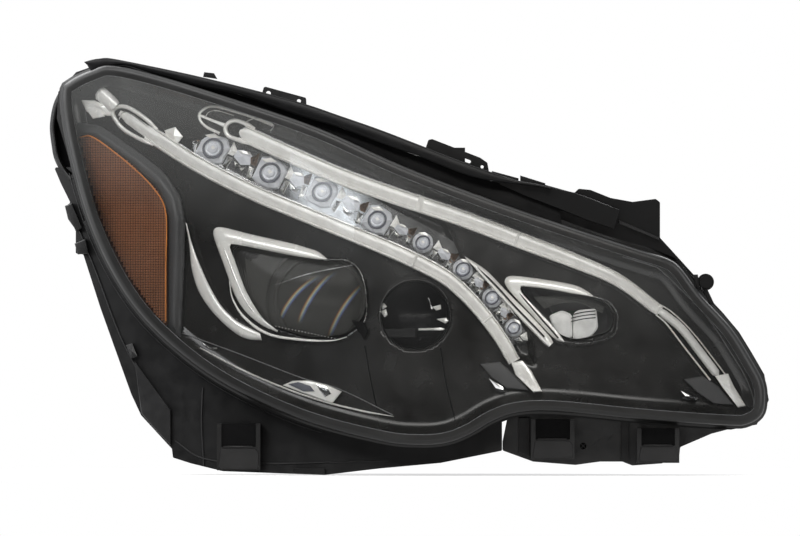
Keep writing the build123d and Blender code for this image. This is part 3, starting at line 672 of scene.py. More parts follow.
def oval(x, z, a, b, turn=0.0, count=48):
    """An ellipse's points, turned by `turn` degrees."""
    c, s = math.cos(math.radians(turn)), math.sin(math.radians(turn))
    out = []
    for k in range(count):
        u, v = a * math.cos(2 * math.pi * k / count), -b * math.sin(2 * math.pi * k / count)
        out.append(Vector((x + u * c - v * s, z + u * s + v * c)))
    return out


def tapered(start, end, run):
    """A sweep's size along its length: narrow at its ends."""
    def scale(s):
        a = start + (1 - start) * float(ease(s / run))
        b = end + (1 - end) * float(ease((1 - s) / run))
        return min(a, b), min(a, b)
    return scale


def beads(name, start, end, count, size, depth, look):
    """A row of small pyramids between two points of the front view."""
    verts, faces = [], []
    for k in range(count):
        p = Vector(start).lerp(Vector(end), k / (count - 1))
        i = len(verts)
        corners = xz(-size, 0, 0, -size, size, 0, 0, size)
        verts += [lens_point(p.x + dx, p.y + dz, depth) for dx, dz in corners]
        verts.append(lens_point(p.x, p.y, depth - size))
        faces += [(i + j, i + (j + 1) % 4, i + 4) for j in range(4)] + [(i, i + 1, i + 2, i + 3)]
    return finish_mesh(name, verts, faces, look)


def wire(name, points, width, height, depth, look, ends=None, **kw):
    """A thin domed rail through the points; ends holds what `tapered` takes."""
    path = spaced(smooth(points, 8), 2.0)
    scale = tapered(*ends) if ends else None
    return sweep(name, path, arc_section(width, height), depth, look, scale=scale, **kw)


def tube(name, points, gap, width, height, depth, look, ends=None, count=18, per=8, **kw):
    """A round rail through the points, `width` and `height` being its half sizes."""
    path = spaced(smooth(points, per), gap)
    scale = tapered(*ends) if ends else None
    return sweep(name, path, oval(0, 0, width, height, count=count), depth, look, scale=scale, **kw)


def quarter(count):
    """Angles over a quarter turn, without its end."""
    return [math.pi / 2 * k / count for k in range(count)]


def lens_rings(rows, line):
    """Rings behind the cover; rows holds (size, depth) and line(size) gives a ring's points."""
    return [lens_ring(line(size), depth) for size, depth in rows]


OUTLINE = spaced(smooth(LENS_OUTLINE, 6, closed=True), 4, closed=True)
RIM = 9
ROLL = 5


# ---------------------------------------------------------------- the clear cover
def build_cover():
    """The curved clear cover: one skin with a rolled edge, its skirt and the lip in the glue channel."""
    rows = [(-RIM, 0), (-RIM + 2, 0)]
    rows += [(-ROLL + ROLL * math.sin(a), ROLL - ROLL * math.cos(a)) for a in quarter(8) + [math.pi / 2]]
    rows += [(0, 14), (0.2, 28), (1.2, 29.3), (2.6, 29.8), (3.0, 30.6), (3.0, 32.5), (0, 34), (0, SKIRT)]
    ring = grown(OUTLINE, -RIM)
    verts, faces = sheet_mesh(ring, [], 9, level(0))
    split = len(faces)
    faces += ring_faces(len(OUTLINE), len(rows), len(verts))
    verts += [p for ring in lens_rings(rows, lambda size: grown(OUTLINE, size)) for p in ring]
    mesh = bpy.data.meshes.new("outer_cover")
    mesh.from_pydata(verts, [], faces)
    for k, face in enumerate(mesh.polygons):
        face.material_index = 0 if k < split else 1
        face.use_smooth = True
    bm = bmesh.new()
    bm.from_mesh(mesh)
    bmesh.ops.remove_doubles(bm, verts=bm.verts, dist=2e-5)
    bmesh.ops.recalc_face_normals(bm, faces=bm.faces)
    bm.to_mesh(mesh)
    bm.free()
    obj = bpy.data.objects.new("outer_cover", mesh)
    bpy.context.scene.collection.objects.link(obj)
    mesh.materials.append(M["cover"])
    mesh.materials.append(M["rim"])
    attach(obj, "housing")
    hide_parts("outer_lens")
    sweep("cover_edge_line", grown(OUTLINE, -RIM), arc_section(1.1, 0.7, 5), 4, "rim_line", closed=True)


build_cover()

# ---------------------------------------------------------------- the black panel
LOW_OPENING = xz(-203, -84, -140, -96, -94, -99, -80, -119, -79, -144, -94, -165, -130, -169, -174, -155,
    -189, -131)
TURN_OPENING = xz(57, -122, 94, -127, 130, -134, 142, -146, 140, -163, 108, -171, 91, -165)
LOWER_STRIP = xz(-281, 20, -265, 8.5, -230, -13.5, -184, -37, -140, -55.5, -94, -74.5, -50, -93, -14, -111,
    4.5, -125, 22.5, -144, 40.5, -168, 53, -190)
UPPER_STRIP = xz(-194, 17, -158, 0.5, -104, -23, -50, -42.5, 4, -60.5, 58, -81, 112, -101.5, 148, -118,
    184, -145)
LAMP_CHANNEL = LOWER_STRIP[1:] + xz(74, -196, 72, -170, 42, -124, 8, -96, -6, -62) + UPPER_STRIP[3::-1]
LOWER_BLADE = xz(-229.5, -178, -193.5, -197, -157.5, -212.5, -121.5, -225, -85.5, -234, -55, -239.4)
LOW_X, LOW_Z = -121.5, -135
TURN_X, TURN_Z = 104, -147
HIGH_X, HIGH_Z = -36, -148.5
HIGH_OPENING = 32


PANEL_DEPTH = 24
BORDER_RISE = 9
BORDER_WIDTH = 20
CHANNEL_DROP = 8
BLADE_DROP = 2.5


def border_depth(reach):
    """The panel's depth at this distance from the cover's edge: raised at its rim."""
    return PANEL_DEPTH - BORDER_RISE * (1 - ease(reach / BORDER_WIDTH))


def panel_depth(rows):
    """How deep the panel lies: also sunk along the daytime lamps and below the blade."""
    x, z = rows[:, 0], rows[:, 1]
    d = border_depth(away(rows, OUTLINE))
    sunk = np.where(inside(rows, LAMP_CHANNEL), away(rows, LAMP_CHANNEL), 0)
    d += CHANNEL_DROP * ease(sunk / 9)
    blade_z = np.interp(x, *zip(*LOWER_BLADE))
    d += BLADE_DROP * ease((blade_z - z) / 12) * ease((-50 - x) / 30)
    return d


def on_panel(lift):
    """The depth of a rail that lies `lift` in front of the panel."""
    return lambda x, z: panel_depth(np.array([[x, z]]))[0] - lift


def build_panel():
    """The moulded panel behind the cover, with the openings of the lamps and its turned-back skirt."""
    edge = grown(OUTLINE, -7)
    low = spaced(rounded(LOW_OPENING, 14), 3, closed=True)
    turn = spaced(rounded(TURN_OPENING, 8), 3, closed=True)
    high = oval(HIGH_X, HIGH_Z, HIGH_OPENING, HIGH_OPENING, count=64)
    obj = panel("black_panel", edge, [low, turn, high], 2.6, panel_depth, "bezel", node="bezel")
    solid(obj, 2.2, 1)
    rows = xz(-7, 15, -6.2, 16, -6, 18, -6, 46)
    loops("panel_skirt", lens_rings(rows, lambda size: grown(OUTLINE, size)), "void")
    # Two joints of the panel's inserts, below the high beam.
    for k, line in enumerate((xz(-81, -176, -76, -205, -70, -233), xz(-13, -178, -8, -210, 0, -243))):
        wire(f"panel_joint_{k}", line, 1.0, 0.5, on_panel(0), "void", slot="")


build_panel()

# The panel's raised border, one even strip round the cover's edge.
drops = [(reach, -0.35) for reach in (7.4, 8.6, 10, 11.6, 13.2, 14.8, 16.4, 18, 20)]
drops = [(7.1, 1.2), *drops, (21, 0.3)]
border = [lens_ring(grown(OUTLINE, -reach), border_depth(reach) + drop) for reach, drop in drops]
loops("panel_border", border, "bezel")

# At the inner end the panel's rim widens to a smooth ledge, with a fine line along it.
LEDGE_OUTER = xz(150, -92, 182, -103, 194, -110, 214, -134, 240, -163, 258, -192, 267, -211, 270, -226,
    268, -234)
LEDGE_INNER = xz(150, -96, 176, -104, 184, -108, 205, -128, 226, -150, 246, -180, 260, -203, 267, -221,
    268, -231)
band("panel_ledge", LEDGE_OUTER, LEDGE_INNER, 14.6, 0.5, "ledge", 70, 6)
wire("panel_ledge_line", LEDGE_INNER, 1.0, 0.8, 13.9, "ridge_line")

# ---------------------------------------------------------------- light strips
def flat_section(width, height, crown=0.6, edge=0.9):
    """A ribbon's cross-section with rounded shoulders and a slight crown."""
    half = width / 2
    left = [(-half, -1.0), (-half, height - edge), (-half + edge * 0.35, height - edge * 0.3),
        (-half + edge, height), (-half * 0.5, height + crown * 0.75)]
    return left + [(0, height + crown)] + [(-u, v) for u, v in reversed(left)]


# Where along a light strip it begins to narrow, and how much of it its rounded start takes.
NARROWING = 0.62
START_RUN = 0.02


def strip(name, line, width, node_guide, node_trim, upper_rail, lower_rail, end_share):
    """A light strip: the milky guide on its bright channel, between two bright rails. Its last third
    narrows to end_share of its width."""
    path = spaced(smooth(line, 8), 2.5)

    def share(s):
        return 1 - (1 - end_share) * float(ease((s - NARROWING) / (1 - NARROWING)))

    def slimmed(s):
        start = math.sqrt(max(0.05, 1 - (1 - min(s, START_RUN) / START_RUN) ** 2))
        return share(s) * start, 1.0

    sweep(f"{name}_guide", path, flat_section(width - 2.4, 2.6), 18.6, "guide", scale=slimmed,
        node=node_guide)
    bed = [(-width / 2 - 1, 0), (-width / 2 - 1, 1.2), (width / 2 + 1, 1.2), (width / 2 + 1, 0)]
    sweep(f"{name}_channel", path, bed, 20.5, "satin", scale=slimmed, node=node_trim)
    for label, ends, side, thick in (("upper", upper_rail, 1, 1.9), ("lower", lower_rail, -1, 3.2)):
        reach = [side * (width / 2 - 0.3) * share(i / (len(path) - 1)) for i in range(len(path))]
        rail = [p + n * r for p, n, r in zip(path, normals(path), reach)]
        rail = [Vector(p) for p in ends] + rail[2:]
        sweep(f"{name}_{label}_rail", spaced(smooth(rail, 2), 2), arc_section(thick, 4.0, 6, 1.5), 19.4,
            "bright", scale=tapered(0.7, 0.5, 0.02))
    return path


lower_path = strip(
    "lower_strip", LOWER_STRIP, 12.6, "lower_light_guide", "lower_strip_trim",
    xz(-309.6, 35, -308, 38, -303, 39.5, -294.3, 37.8, -280, 29.3, -271, 22),
    xz(-309.6, 35, -308.5, 31, -305, 25.5, -299, 19, -291.6, 14.2, -281, 8.5, -276, 6.5), 0.8,
)
upper_path = strip(
    "upper_strip", UPPER_STRIP, 13.4, "upper_light_guide", "upper_strip_trim",
    xz(-206, 20, -203, 25, -197, 27, -191, 24), xz(-206, 20, -204.5, 14.5, -199, 10, -193, 9.5), 0.68,
)


def cross_joint(name, x, z, path, width, depth=15.3, thick=2.2):
    """A short clip across a light strip."""
    i = min(range(1, len(path) - 1), key=lambda k: (path[k] - Vector((x, z))).length)
    side = normals(path)[i]
    ends = [path[i] - side * width / 2, path[i] + side * width / 2]
    sweep(name, spaced(ends, 2), arc_section(thick, 0.7, 4, 1.0), depth, "guide", slot="bright_trim")


cross_joint("lower_joint_1", -36, -98, lower_path, 12)
cross_joint("lower_joint_2", 30, -150, lower_path, 12)
cross_joint("upper_joint_1", -31, -50, upper_path, 13, thick=5)
cross_joint("upper_joint_2", 56, -80, upper_path, 13)
cross_joint("upper_joint_3", 182, -143, upper_path, 8.5, thick=2.6)

# The upper strip's thin end: a glassy tube with a rounded tip, and the bright line beside it.
END_TUBE = xz(184, -145, 202.5, -160, 220.5, -182.7, 236, -203)
tube("upper_end_tube", END_TUBE, 1.5, 3.9, 3.6, 17, "guide", (0.8, 0.35, 0.05), 16)
wire("upper_end_line", xz(180, -148, 190, -157, 207, -179, 229, -207), 1.8, 2.2, 19, "bright")
wire("upper_end_edge", xz(184, -139, 196, -147, 214, -165, 245, -205), 1.4, 2.2, 19, "bright")

for name, tip, wedge in (
    ("lower_tip", xz(50, -191, 60, -189, 68, -198, 78, -217, 70, -217.5, 54, -202),
     xz(22, -192, 40, -190, 50, -199, 66, -216, 46, -214, 32, -204)),
    ("upper_tip", xz(233, -203, 245, -201, 250, -212, 261, -230, 254, -231.5, 240, -214),
     xz(205, -206, 222, -203, 236, -212, 250, -229, 232, -228, 216, -217)),
):
    chip(name, tip, 15.5, 22, "bright", 2.0, 1.0)
    chip(f"{name}_wedge", wedge, 19.5, 24, "grey", 1.5, 1.0)
chip("lower_tip_sliver", xz(30, -205, 43, -213, 44, -216, 36, -214), 17, 22, "chrome", 0.8, 0.4)
chip("upper_tip_sliver", xz(202, -216, 218, -222, 217, -225, 206, -221), 17, 22, "chrome", 0.8, 0.4)

# The lower strip's head: a faceted block and a capped tube, and the guide's round start between the rails.
chip("lower_head_block", xz(-338, 46, -326, 45.5, -318, 42, -311, 44, -306, 38, -311, 31, -322, 32, -333, 35),
    16, 23, "bright", 3.0, 1.2)
chip("lower_head_plate", xz(-334, 38, -322, 41, -316, 30.5, -327, 28.5), 14, 20, "bright", 1.0, 0.8)
cap_line = xz(-323, 53.5, -317, 49, -307, 39)
tube("lower_head_cap", cap_line, 1.2, 6.6, 5, 16, "bright", (0.55, 0.9, 0.12), per=6, slot="light_guide")
tube_line = xz(-303, 34, -296, 30, -283, 20.5, -270, 11.5)
tube("lower_head_tube", tube_line, 1.5, 5.2, 3.6, 18.5, "guide", (0.5, 1.0, 0.3), per=6)
wire("lower_head_ring", xz(-272, 4.5, -281, 8.5, -291.6, 14.2, -299, 19, -305, 25.5, -309, 33, -307.5, 37.5,
    -302, 39.8, -293, 37.8, -280, 29.3, -268, 19), 4.0, 3.4, 17.5, "bright", ends=(0.5, 0.5, 0.1))
wire("lower_head_inner", xz(-303, 28, -300, 34, -293, 33, -281, 24, -268, 13), 1.3, 2.0, 18, "chrome")
band("lower_head_slot", xz(-297, 36, -283, 27, -266, 13), xz(-299, 31, -287, 24, -268, 10), 20.2, 0.5, "void",
    30, 4)
chip("lower_head_facet", xz(-262, 18, -252, 21, -245, 12, -250, 6, -259, 9), 17, 24, "bright", 2.4, 0.8)

# The upper strip's head: a bright loop with a bar, a notch and a second line within it.
wire("upper_head_loop", xz(-212, 15, -224, 21, -230, 28, -229, 34.5, -218, 39.5, -193.5, 33.3, -175.5, 27,
    -164, 22), 2.8, 3.0, 19, "bright")
wire("upper_head_ring", xz(-180, 19.5, -190, 24.5, -199, 26.5, -205, 23.5, -206.8, 18, -203.5, 12.5,
    -196, 9.5, -186, 5.5), 4.0, 3.4, 17.8, "bright", ends=(0.5, 0.5, 0.12))
wire("upper_head_inner", xz(-225, 29, -222, 34, -214, 35.5, -199, 31), 1.0, 2.0, 18.5, "bright")
band("upper_head_bar", xz(-230, 33, -217, 27.5, -203, 23), xz(-229, 29.5, -217, 24.5, -206, 19.5), 19, 1.5,
    "bright", 24, 6, 0.6)
wire("upper_head_notch", xz(-191, 24, -180, 28.5, -170, 26, -163, 22, -166, 17), 1.3, 2.2, 18, "bright")


# ---------------------------------------------------------------- amber side reflector
AMBER = xz(-341, 14, -326, 14, -292, -11, -267, -35, -258, -58, -258, -161, -274, -144, -296, -113, -320, -64,
    -334, -18)
AMBER_FRAME = xz(-346, 20, -342, 26, -320, 22.5, -284, -2.5, -262, -20, -248, -40, -243.5, -63, -244, -100,
    -247, -171, -254, -167, -278, -145, -299, -114, -323, -66, -337, -18)


def build_reflector():
    """The amber reflector: a plate with rows of small pyramids, a bright edge, and its grey frame."""
    outline = spaced(rounded(AMBER, 5), 3, closed=True)
    # The plate under the pyramids is the darker amber: painted shade in the grooves between them.
    plate = panel("reflector_plate", outline, [], 4, level(21), "amber_shaded", node="side_reflector")
    solid(plate, 2.4, 1)
    pitch, half = 2.3, 0.78
    xs = np.arange(-342, -256, pitch)
    zs = np.arange(-164, 16, pitch)
    grid = np.array([(x, z) for x in xs for z in zs])
    grid = grid[inside(grid, outline) & (away(grid, outline) > pitch * 0.55)]
    verts, faces = [], []
    for x, z in grid:
        i = len(verts)
        for size, depth in ((half * 1.2, 18.4), (half, 17.6)):
            corners = xz(-size, -size, size, -size, size, size, -size, size)
            verts += [lens_point(x + dx, z + dz, depth) for dx, dz in corners]
        verts.append(lens_point(x, z, 17.3))
        faces += [(i + k, i + (k + 1) % 4, i + 4 + (k + 1) % 4, i + 4 + k) for k in range(4)]
        faces += [(i + 4 + k, i + 4 + (k + 1) % 4, i + 8) for k in range(4)]
    finish_mesh("reflector_prisms", verts, faces, "amber", sharp=10)
    edge = xz(-339, 12, -326, 11.5, -294, -12.5, -270, -36.5, -260.5, -58, -260.5, -105, -260.5, -154)
    wire("reflector_edge", edge, 1.3, 0.8, 17.6, "amber_edge")
    frame_line = spaced(rounded(AMBER_FRAME, 4), 3, closed=True)

    def raised(rows):
        return 20 - 4.5 * ease(away(rows, frame_line) / 8) + 1.5 * (1 - ease(away(rows, outline) / 3))

    panel("reflector_surround", frame_line, [outline], 2.2, raised, "grey", 3, node="reflector_frame",
        slot="frame_grey")


build_reflector()

# ---------------------------------------------------------------- bright trims
CRESCENT_OUTER = xz(-243, -65, -239.5, -85.5, -237.5, -105, -234, -118.8, -229.5, -129.6, -220.5, -143.1,
    -211.5, -153, -202.5, -161.1, -193.5, -167.4, -184.5, -170.5, -173.7, -171.2, -164.7, -168.5)
CRESCENT_INNER = xz(-175.5, -164.7, -193.5, -155.7, -202.5, -148.5, -211.5, -138.6, -220.5, -123.3,
    -229.5, -103.5, -236, -86, -241.5, -66)
band("crescent", CRESCENT_OUTER[:-1], CRESCENT_INNER[::-1], 21, 2.6, "bright", 60, 8, 1.5,
    node="crescent_trim")

# The low beam's frame runs from its right end along the top, round the corner and down the left side.
FRAME_OUTER = xz(-115, -97.5, -123, -91.5, -132, -88.3, -148.5, -83.7, -184.5, -75.6, -206, -70.2,
    -214.5, -69.7, -217.5, -73.5, -216, -82, -207, -106.2, -198, -130.5, -188, -146, -174, -157.5, -160, -164)
FRAME_INNER = xz(-115, -98.5, -123, -98.6, -132, -97.2, -148.5, -94.5, -184.5, -87.3, -199, -84.8,
    -201.8, -85.2, -202.6, -87.5, -201.5, -91, -196.5, -104, -189, -124.2, -180, -141, -171, -153,
    -159, -162.5)
band("low_beam_frame", FRAME_OUTER, FRAME_INNER, 19.5, 2.6, "bright", 90, 8, 3.0, node="low_beam_trim")
wire("low_beam_under_line", xz(-203, -118, -200, -134, -189, -151, -168, -165.5, -139.5, -170.5, -112, -171.5,
    -97, -168), 2.8, 2.2, 20, "bright", ends=(0.3, 0.3, 0.35))
wire("low_beam_inner_line", xz(-118, -99, -97, -99.5, -84.5, -111, -79.5, -135, -82, -155, -96, -167), 1.2,
    1.4, 20.5, "satin")

wire("blade_line", LOWER_BLADE, 2.1, 2.2, on_panel(0.6), "bright", node="lower_blade", ends=(0.7, 0.4, 0.15))
wire("blade_crease", xz(-245.7, -164.7, -193.5, -183.6, -139.5, -204.3, -103.5, -215.1, -56, -238), 0.9, 1.2,
    on_panel(0.3), "ridge_line")
chip("blade_patch", xz(-155, -211.5, -146, -207.5, -132.3, -207, -115, -211, -101.7, -217, -110, -227.5,
    -130, -221), 19.5, 24, "bright", 1.4, 1.0)
chip("blade_patch_dark", xz(-150, -210.5, -141, -208.6, -130, -212, -126, -217, -136, -217), 17.9, 20,
    "shade", 0.4, 0.4, slot="bright_trim")
chip("blade_patch_fold", xz(-125, -210, -116, -212, -111, -219, -117, -222, -122, -216), 17.9, 20, "chrome",
    0.9, 0.4)
wire("blade_start_curve", xz(-227, -174, -221, -178, -214, -178.5), 1.6, 1.4, 22.5, "satin")

TURN_OUTER = xz(124, -131, 117, -126, 108, -121.8, 94.5, -118.8, 76.5, -116, 55, -113.4, 47, -114, 44.5, -119,
    49, -127, 66, -145.5, 83, -163.8, 91, -171, 97, -173)
TURN_INNER = xz(122.5, -132, 115, -130.7, 107, -129.4, 92, -126.6, 76.5, -124.2, 61, -122.6, 58.5, -123.5,
    58.8, -126.5, 62, -131, 74, -143.5, 87, -157.5, 94.5, -167, 98, -172)
band("turn_frame", TURN_OUTER, TURN_INNER, 19.5, 2.4, "bright", 70, 8, 2.0, node="turn_trim")
wire("turn_frame_line", xz(122, -131, 137.7, -136.5, 144.9, -146, 145.5, -154, 141, -167, 117, -173.5,
    96, -172), 1.3, 1.6, 19.5, "satin")
ARM_UPPER = xz(8, -95, 27, -107.5, 38, -118.5, 50, -131, 68, -149, 84, -166.5, 88, -173)
ARM_LOWER = xz(10, -98, 20, -109, 36, -127, 54, -147, 70.2, -164, 80, -174, 84, -177)
band("turn_arm", ARM_UPPER, ARM_LOWER, 21, 2.4, "bright", 60, 8, 1.5)
wire("turn_arm_groove", xz(20, -105.5, 37, -122.5, 52, -139, 69, -156.5, 80, -168), 1.8, 1.6, 17.6,
    "inner_grey", slot="bright_trim", ends=(0.3, 1.0, 0.2))
wire("turn_frame_groove", xz(53, -121.5, 57, -128, 70, -143.5, 85, -160.5, 92.5, -169), 1.8, 1.6, 16.9,
    "inner_grey", slot="bright_trim", ends=(0.3, 1.0, 0.3))
wire("low_beam_frame_groove", xz(-211, -80, -203, -101, -193.5, -125, -184, -142, -172, -154), 1.6, 1.6, 16.4,
    "satin", ends=(0.3, 0.3, 0.2))


# ---------------------------------------------------------------- lamp wells
def well(name, outline, x, z, rows, look, radius, ribs=0.0, floor_y=None, **kw):
    """A funnel from the opening's outline to a ring; rows hold (depth, share of the ring). With floor_y
    the ring is flat, at that distance."""
    ring = polar(outline, x, z)
    rings = []
    for k, (depth, share) in enumerate(rows):
        row = []
        for i, p in enumerate(ring):
            a = 2 * math.pi * i / len(ring)
            end = Vector((x + math.cos(a) * radius, z + math.sin(a) * radius))
            q = p.lerp(end, share)
            point = lens_point(q.x, q.y, depth + (ribs if k % 2 else 0))
            if floor_y is not None:
                point = point.lerp(flat_point(q.x, q.y, floor_y), share)
            row.append(point)
        rings.append(row)
    return loops(name, rings, look, **kw)


funnel = [(20, 0), (24, 0.01)] + [(26 + k / 6, 0.02 + 0.98 * (k / 24) ** 1.2) for k in range(25)]
well("low_beam_well", rounded(LOW_OPENING, 14), LOW_X, LOW_Z, funnel, "inner_grey", 49, ribs=0.5, floor_y=-17)
lathe("projector_shroud", LOW_X, LOW_Z, xz(47, 3, 47, 0.5, 46, 0, 41, 0, 41, 3), "inner_grey",
    body="low_beam", cap_last=False)
bowl = xz(20, 0, 26, 0.02, 38, 0.16, 46, 0.5, 47, 0.98)
well("turn_well", rounded(TURN_OPENING, 8), TURN_X, TURN_Z, bowl, "grey", 6, node="turn_reflector",
    cap_last=True)

lens = [(38 * math.cos(a), -4 - 16 * math.sin(a) ** 0.9) for a in quarter(16)]
lathe("projector_lens", LOW_X, LOW_Z, [(38, 0), (38, -3.4), *lens, (0.2, -20)], "projector", body="low_beam",
    node="low_beam_lens", cap_first=True)
lathe("projector_ring", LOW_X, LOW_Z, [(42, 9), (42, -5), (41, -6), (39.5, -6), (38.4, -5), (38.4, -0.2)],
    "inner_grey", body="low_beam", node="lens_holder", slot="cast_metal", cap_last=False)

LOW_GLASS = grown(spaced(rounded(LOW_OPENING, 14), 3, closed=True), 0.5)
panel("low_beam_glass", LOW_GLASS, [], 6, lambda r: 26 - 5 * ease(away(r, LOW_GLASS) / 26), "inner_glass")
chip("low_beam_notch", xz(-93, -153, -81, -155, -78, -163, -82, -170, -87, -163), 18.6, 24, "void", 0.5, 0.6)
# A thin satin rail along the edge of a reflection across the projector: a painted reflection.
wire("low_beam_reflection_line", xz(-162, -121.5, -130, -111, -92, -103.5), 0.8, 0.5, 20.6, "satin",
    ends=(0.4, 0.4, 0.3))
beads("low_beam_beads", (-161, -158.5), (-108, -169.5), 19, 0.6, 20.4, "bright")

high_y = lens_point(HIGH_X, HIGH_Z, PANEL_DEPTH).y / MM
ring = [(33, high_y + 4), (32.4, high_y + 2), (31.6, high_y + 2), (31, high_y + 4), (30.5, high_y + 12)]
lathe("high_beam_ring", HIGH_X, HIGH_Z, ring, "bezel", cap_last=False)
lens = [(30 * math.cos(a), -18 - 12 * math.sin(a)) for a in quarter(12)]
lathe("high_beam_glass", HIGH_X, HIGH_Z, [(30, -14), (30, -18), *lens, (0.2, -30)], "glass", body="carrier",
    node="high_beam_lens", cap_first=True)

for name, outline, look in (
    ("high_beam_box", xz(-64, -161, -35, -160.5, -35, -168, -60, -168.5), "ridge"),
    ("high_beam_bar", xz(-33, -160.4, -12, -159.6, -9, -161, -12, -162.2, -33, -162.2), "bright"),
    ("high_beam_facet_1", xz(-67.5, -139, -64, -137.5, -61, -141, -65, -143.5), "bright"),
    ("high_beam_facet_2", xz(-67, -145, -62, -143, -60.5, -148, -63.5, -150.5), "bright"),
    ("high_beam_facet_3", xz(-24.5, -132.5, -23, -134, -19.5, -143, -21.5, -143.5), "satin"),
    ("high_beam_facet_4", xz(-20.5, -141, -13, -139, -12.5, -143, -17, -144.5), "bright"),
    ("high_beam_facet_5", xz(-17, -152, -8, -150.8, -6, -154, -9, -156), "bright"),
):
    chip(name, outline, 27, 32, look, 0.8, 0.5, slot="bright_trim")
panel("high_beam_window", oval(HIGH_X, HIGH_Z, 32.3, 32.3, count=48), [], 6, level(24.4), "thin_glass")
wire("high_beam_rim_line", oval(HIGH_X, HIGH_Z, 32.4, 32.4, count=40)[22:38], 0.7, 0.5, 23.6, "grey")

# ---------------------------------------------------------------- turn lamp
chip("turn_lens_outer", rounded(xz(84, -149, 96, -144, 105, -148, 105, -169, 99, -171.5, 89, -163), 3, 4), 26,
    34, "white_lens", 1.5, 1.5, node="turn_lens")
chip("turn_lens_inner", rounded(xz(105.6, -147.5, 110, -144, 126.5, -142.5, 128.5, -160, 121, -169,
    105.6, -171.5), 3, 4), 26, 34, "white_lens", 1.5, 1.5)

for k in range(3):
    wire(f"turn_lens_line_{k}", ((104, -148.2 - 3 * k), (115, -145.8 - 3 * k), (126, -144.6 - 3 * k)), 0.9,
        0.5, 25.2, "ridge", slot="panel_black")
band("turn_dome", xz(70, -132, 92, -131, 116, -133.5, 134, -140),
    xz(80, -143, 92, -138.5, 112, -138, 132, -147), 30, 3.0, "inner_glass", 30, 8)

# ---------------------------------------------------------------- daytime lamps
# Each lamp's X, Z and size, and whether it is cut square.
LAMPS = (
    (-218, 1.5, 27, True), (-166.5, -20.5, 27, True), (-119.5, -38, 26, True), (-70, -63, 24, True),
    (-29, -83.5, 19, False), (7, -107.5, 19, False), (33, -133, 18, False), (52.5, -160, 16, False),
)
LAMP_LINE = [Vector((x, z)) for x, z, _, _ in LAMPS]
SQUARE_CUT = xz(-1.0, -0.75, -0.9, 0.8, -0.35, 1.1, 0.7, 0.95, 1.05, 0.45, 0.95, -0.8, 0.3, -1.08, -0.6, -1.0)
ROUND_CUT = [(math.cos(a), math.sin(a)) for a in (math.pi * (2 * j + 1) / 10 for j in range(10))]
# The rings of the block, of its dome, of the dark ring of painted shade round that and of the cup: (share of
# the size, depth).
BLOCK_ROWS = xz(1.0, 34, 1.0, 27, 0.88, 24.6, 0.62, 22.8, 0.5, 24.2)
DOME_ROWS = xz(0.56, 25.5, 0.56, 23, 0.50, 22, 0.42, 22.6, 0.36, 22.6, 0.28, 21.2, 0.16, 20.6, 0.02, 20.4)
SHADE_ROWS = xz(0.74, 24, 0.74, 22.6, 0.68, 21.9, 0.60, 22.6, 0.58, 24)
CUP_ROWS = xz(1.16, 28, 1.12, 26.8, 1.04, 28, 0.7, 36, 0.3, 40)
# Two small bright chips on each lamp, in shares of its half size: a painted highlight at its middle and a
# painted glint at its upper left.
SPARK = xz(-0.2, 0.02, -0.08, 0.2, 0.16, 0.1, 0.0, -0.08)
GLINT = xz(-0.85, 0.62, -0.3, 0.98, 0.2, 0.86, -0.5, 0.55)


def daytime_lamp(number, x, z, size, square):
    """A cut clear block with a small ringed dome, in a bright cup, and the wings beside it."""
    half = size / 2
    k = number - 1
    run = (LAMP_LINE[min(k + 1, 7)] - LAMP_LINE[max(k - 1, 0)]).normalized()
    side = Vector((-run.y, run.x))

    def at(u, v):
        return LAMP_LINE[k] + run * u + side * v

    def rings(rows, flat, turn):
        return lens_rings(rows, lambda share: oval(x, z, half * share, half * share * flat, turn, 32))

    block_rings = []
    for share, depth in BLOCK_ROWS:
        corners = [at(u * half * share, v * half * share) for u, v in (SQUARE_CUT if square else ROUND_CUT)]
        steps = [(0.9 if j % 2 else -0.5) * (share < 1) for j in range(len(corners))]
        block_rings.append([lens_point(q.x, q.y, depth + step) for q, step in zip(corners, steps)])
    loops(f"daytime_lamp_{number}", block_rings, "lamp", True, True, node=f"drl_lens_{number}", sharp=8)
    loops(f"daytime_dome_{number}", rings(DOME_ROWS, 0.9, 30), "lamp", True, True)
    # A darker ring round the dome: painted shade.
    loops(f"daytime_shade_{number}", rings(SHADE_ROWS, 0.92, 30), "shade")
    # A bright chip at the dome's middle: a painted highlight.
    spark = [at(u * half, v * half) for u, v in SPARK]
    chip(f"daytime_spark_{number}", spark, 20.2, 21.2, "bright", 0.2, 0.3, slot="lamp_clear")
    loops(f"daytime_cup_{number}", rings(CUP_ROWS, 1, 0), "bright", cap_last=True)
    wing = half + 1.5
    for label, sign, top_look in (("near", -1, "copper"), ("far", 1, "bright")):
        for part, low_v, high_v, reach, look in (
            ("top", 0.05, 1.0, 7, top_look), ("foot", -1.0, -0.1, 5, "chrome"),
        ):
            tip, knee = wing + reach, wing + reach * 0.6
            quad = xz(wing, high_v, tip, high_v * 0.45, knee, low_v, wing - 1, low_v * 0.8)
            outline = [at(sign * u, v * half) for u, v in quad]
            chip(f"daytime_{label}_{part}_{number}", outline, 26.5, 31, look, 2.0, 0.5)
    # A bright chip at the block's upper left: a painted glint.
    glint = [at(u * half, v * half) for u, v in GLINT]
    chip(f"daytime_glint_{number}", glint, 22.4, 25, "bright", 0.3, 0.4, slot="lamp_clear")


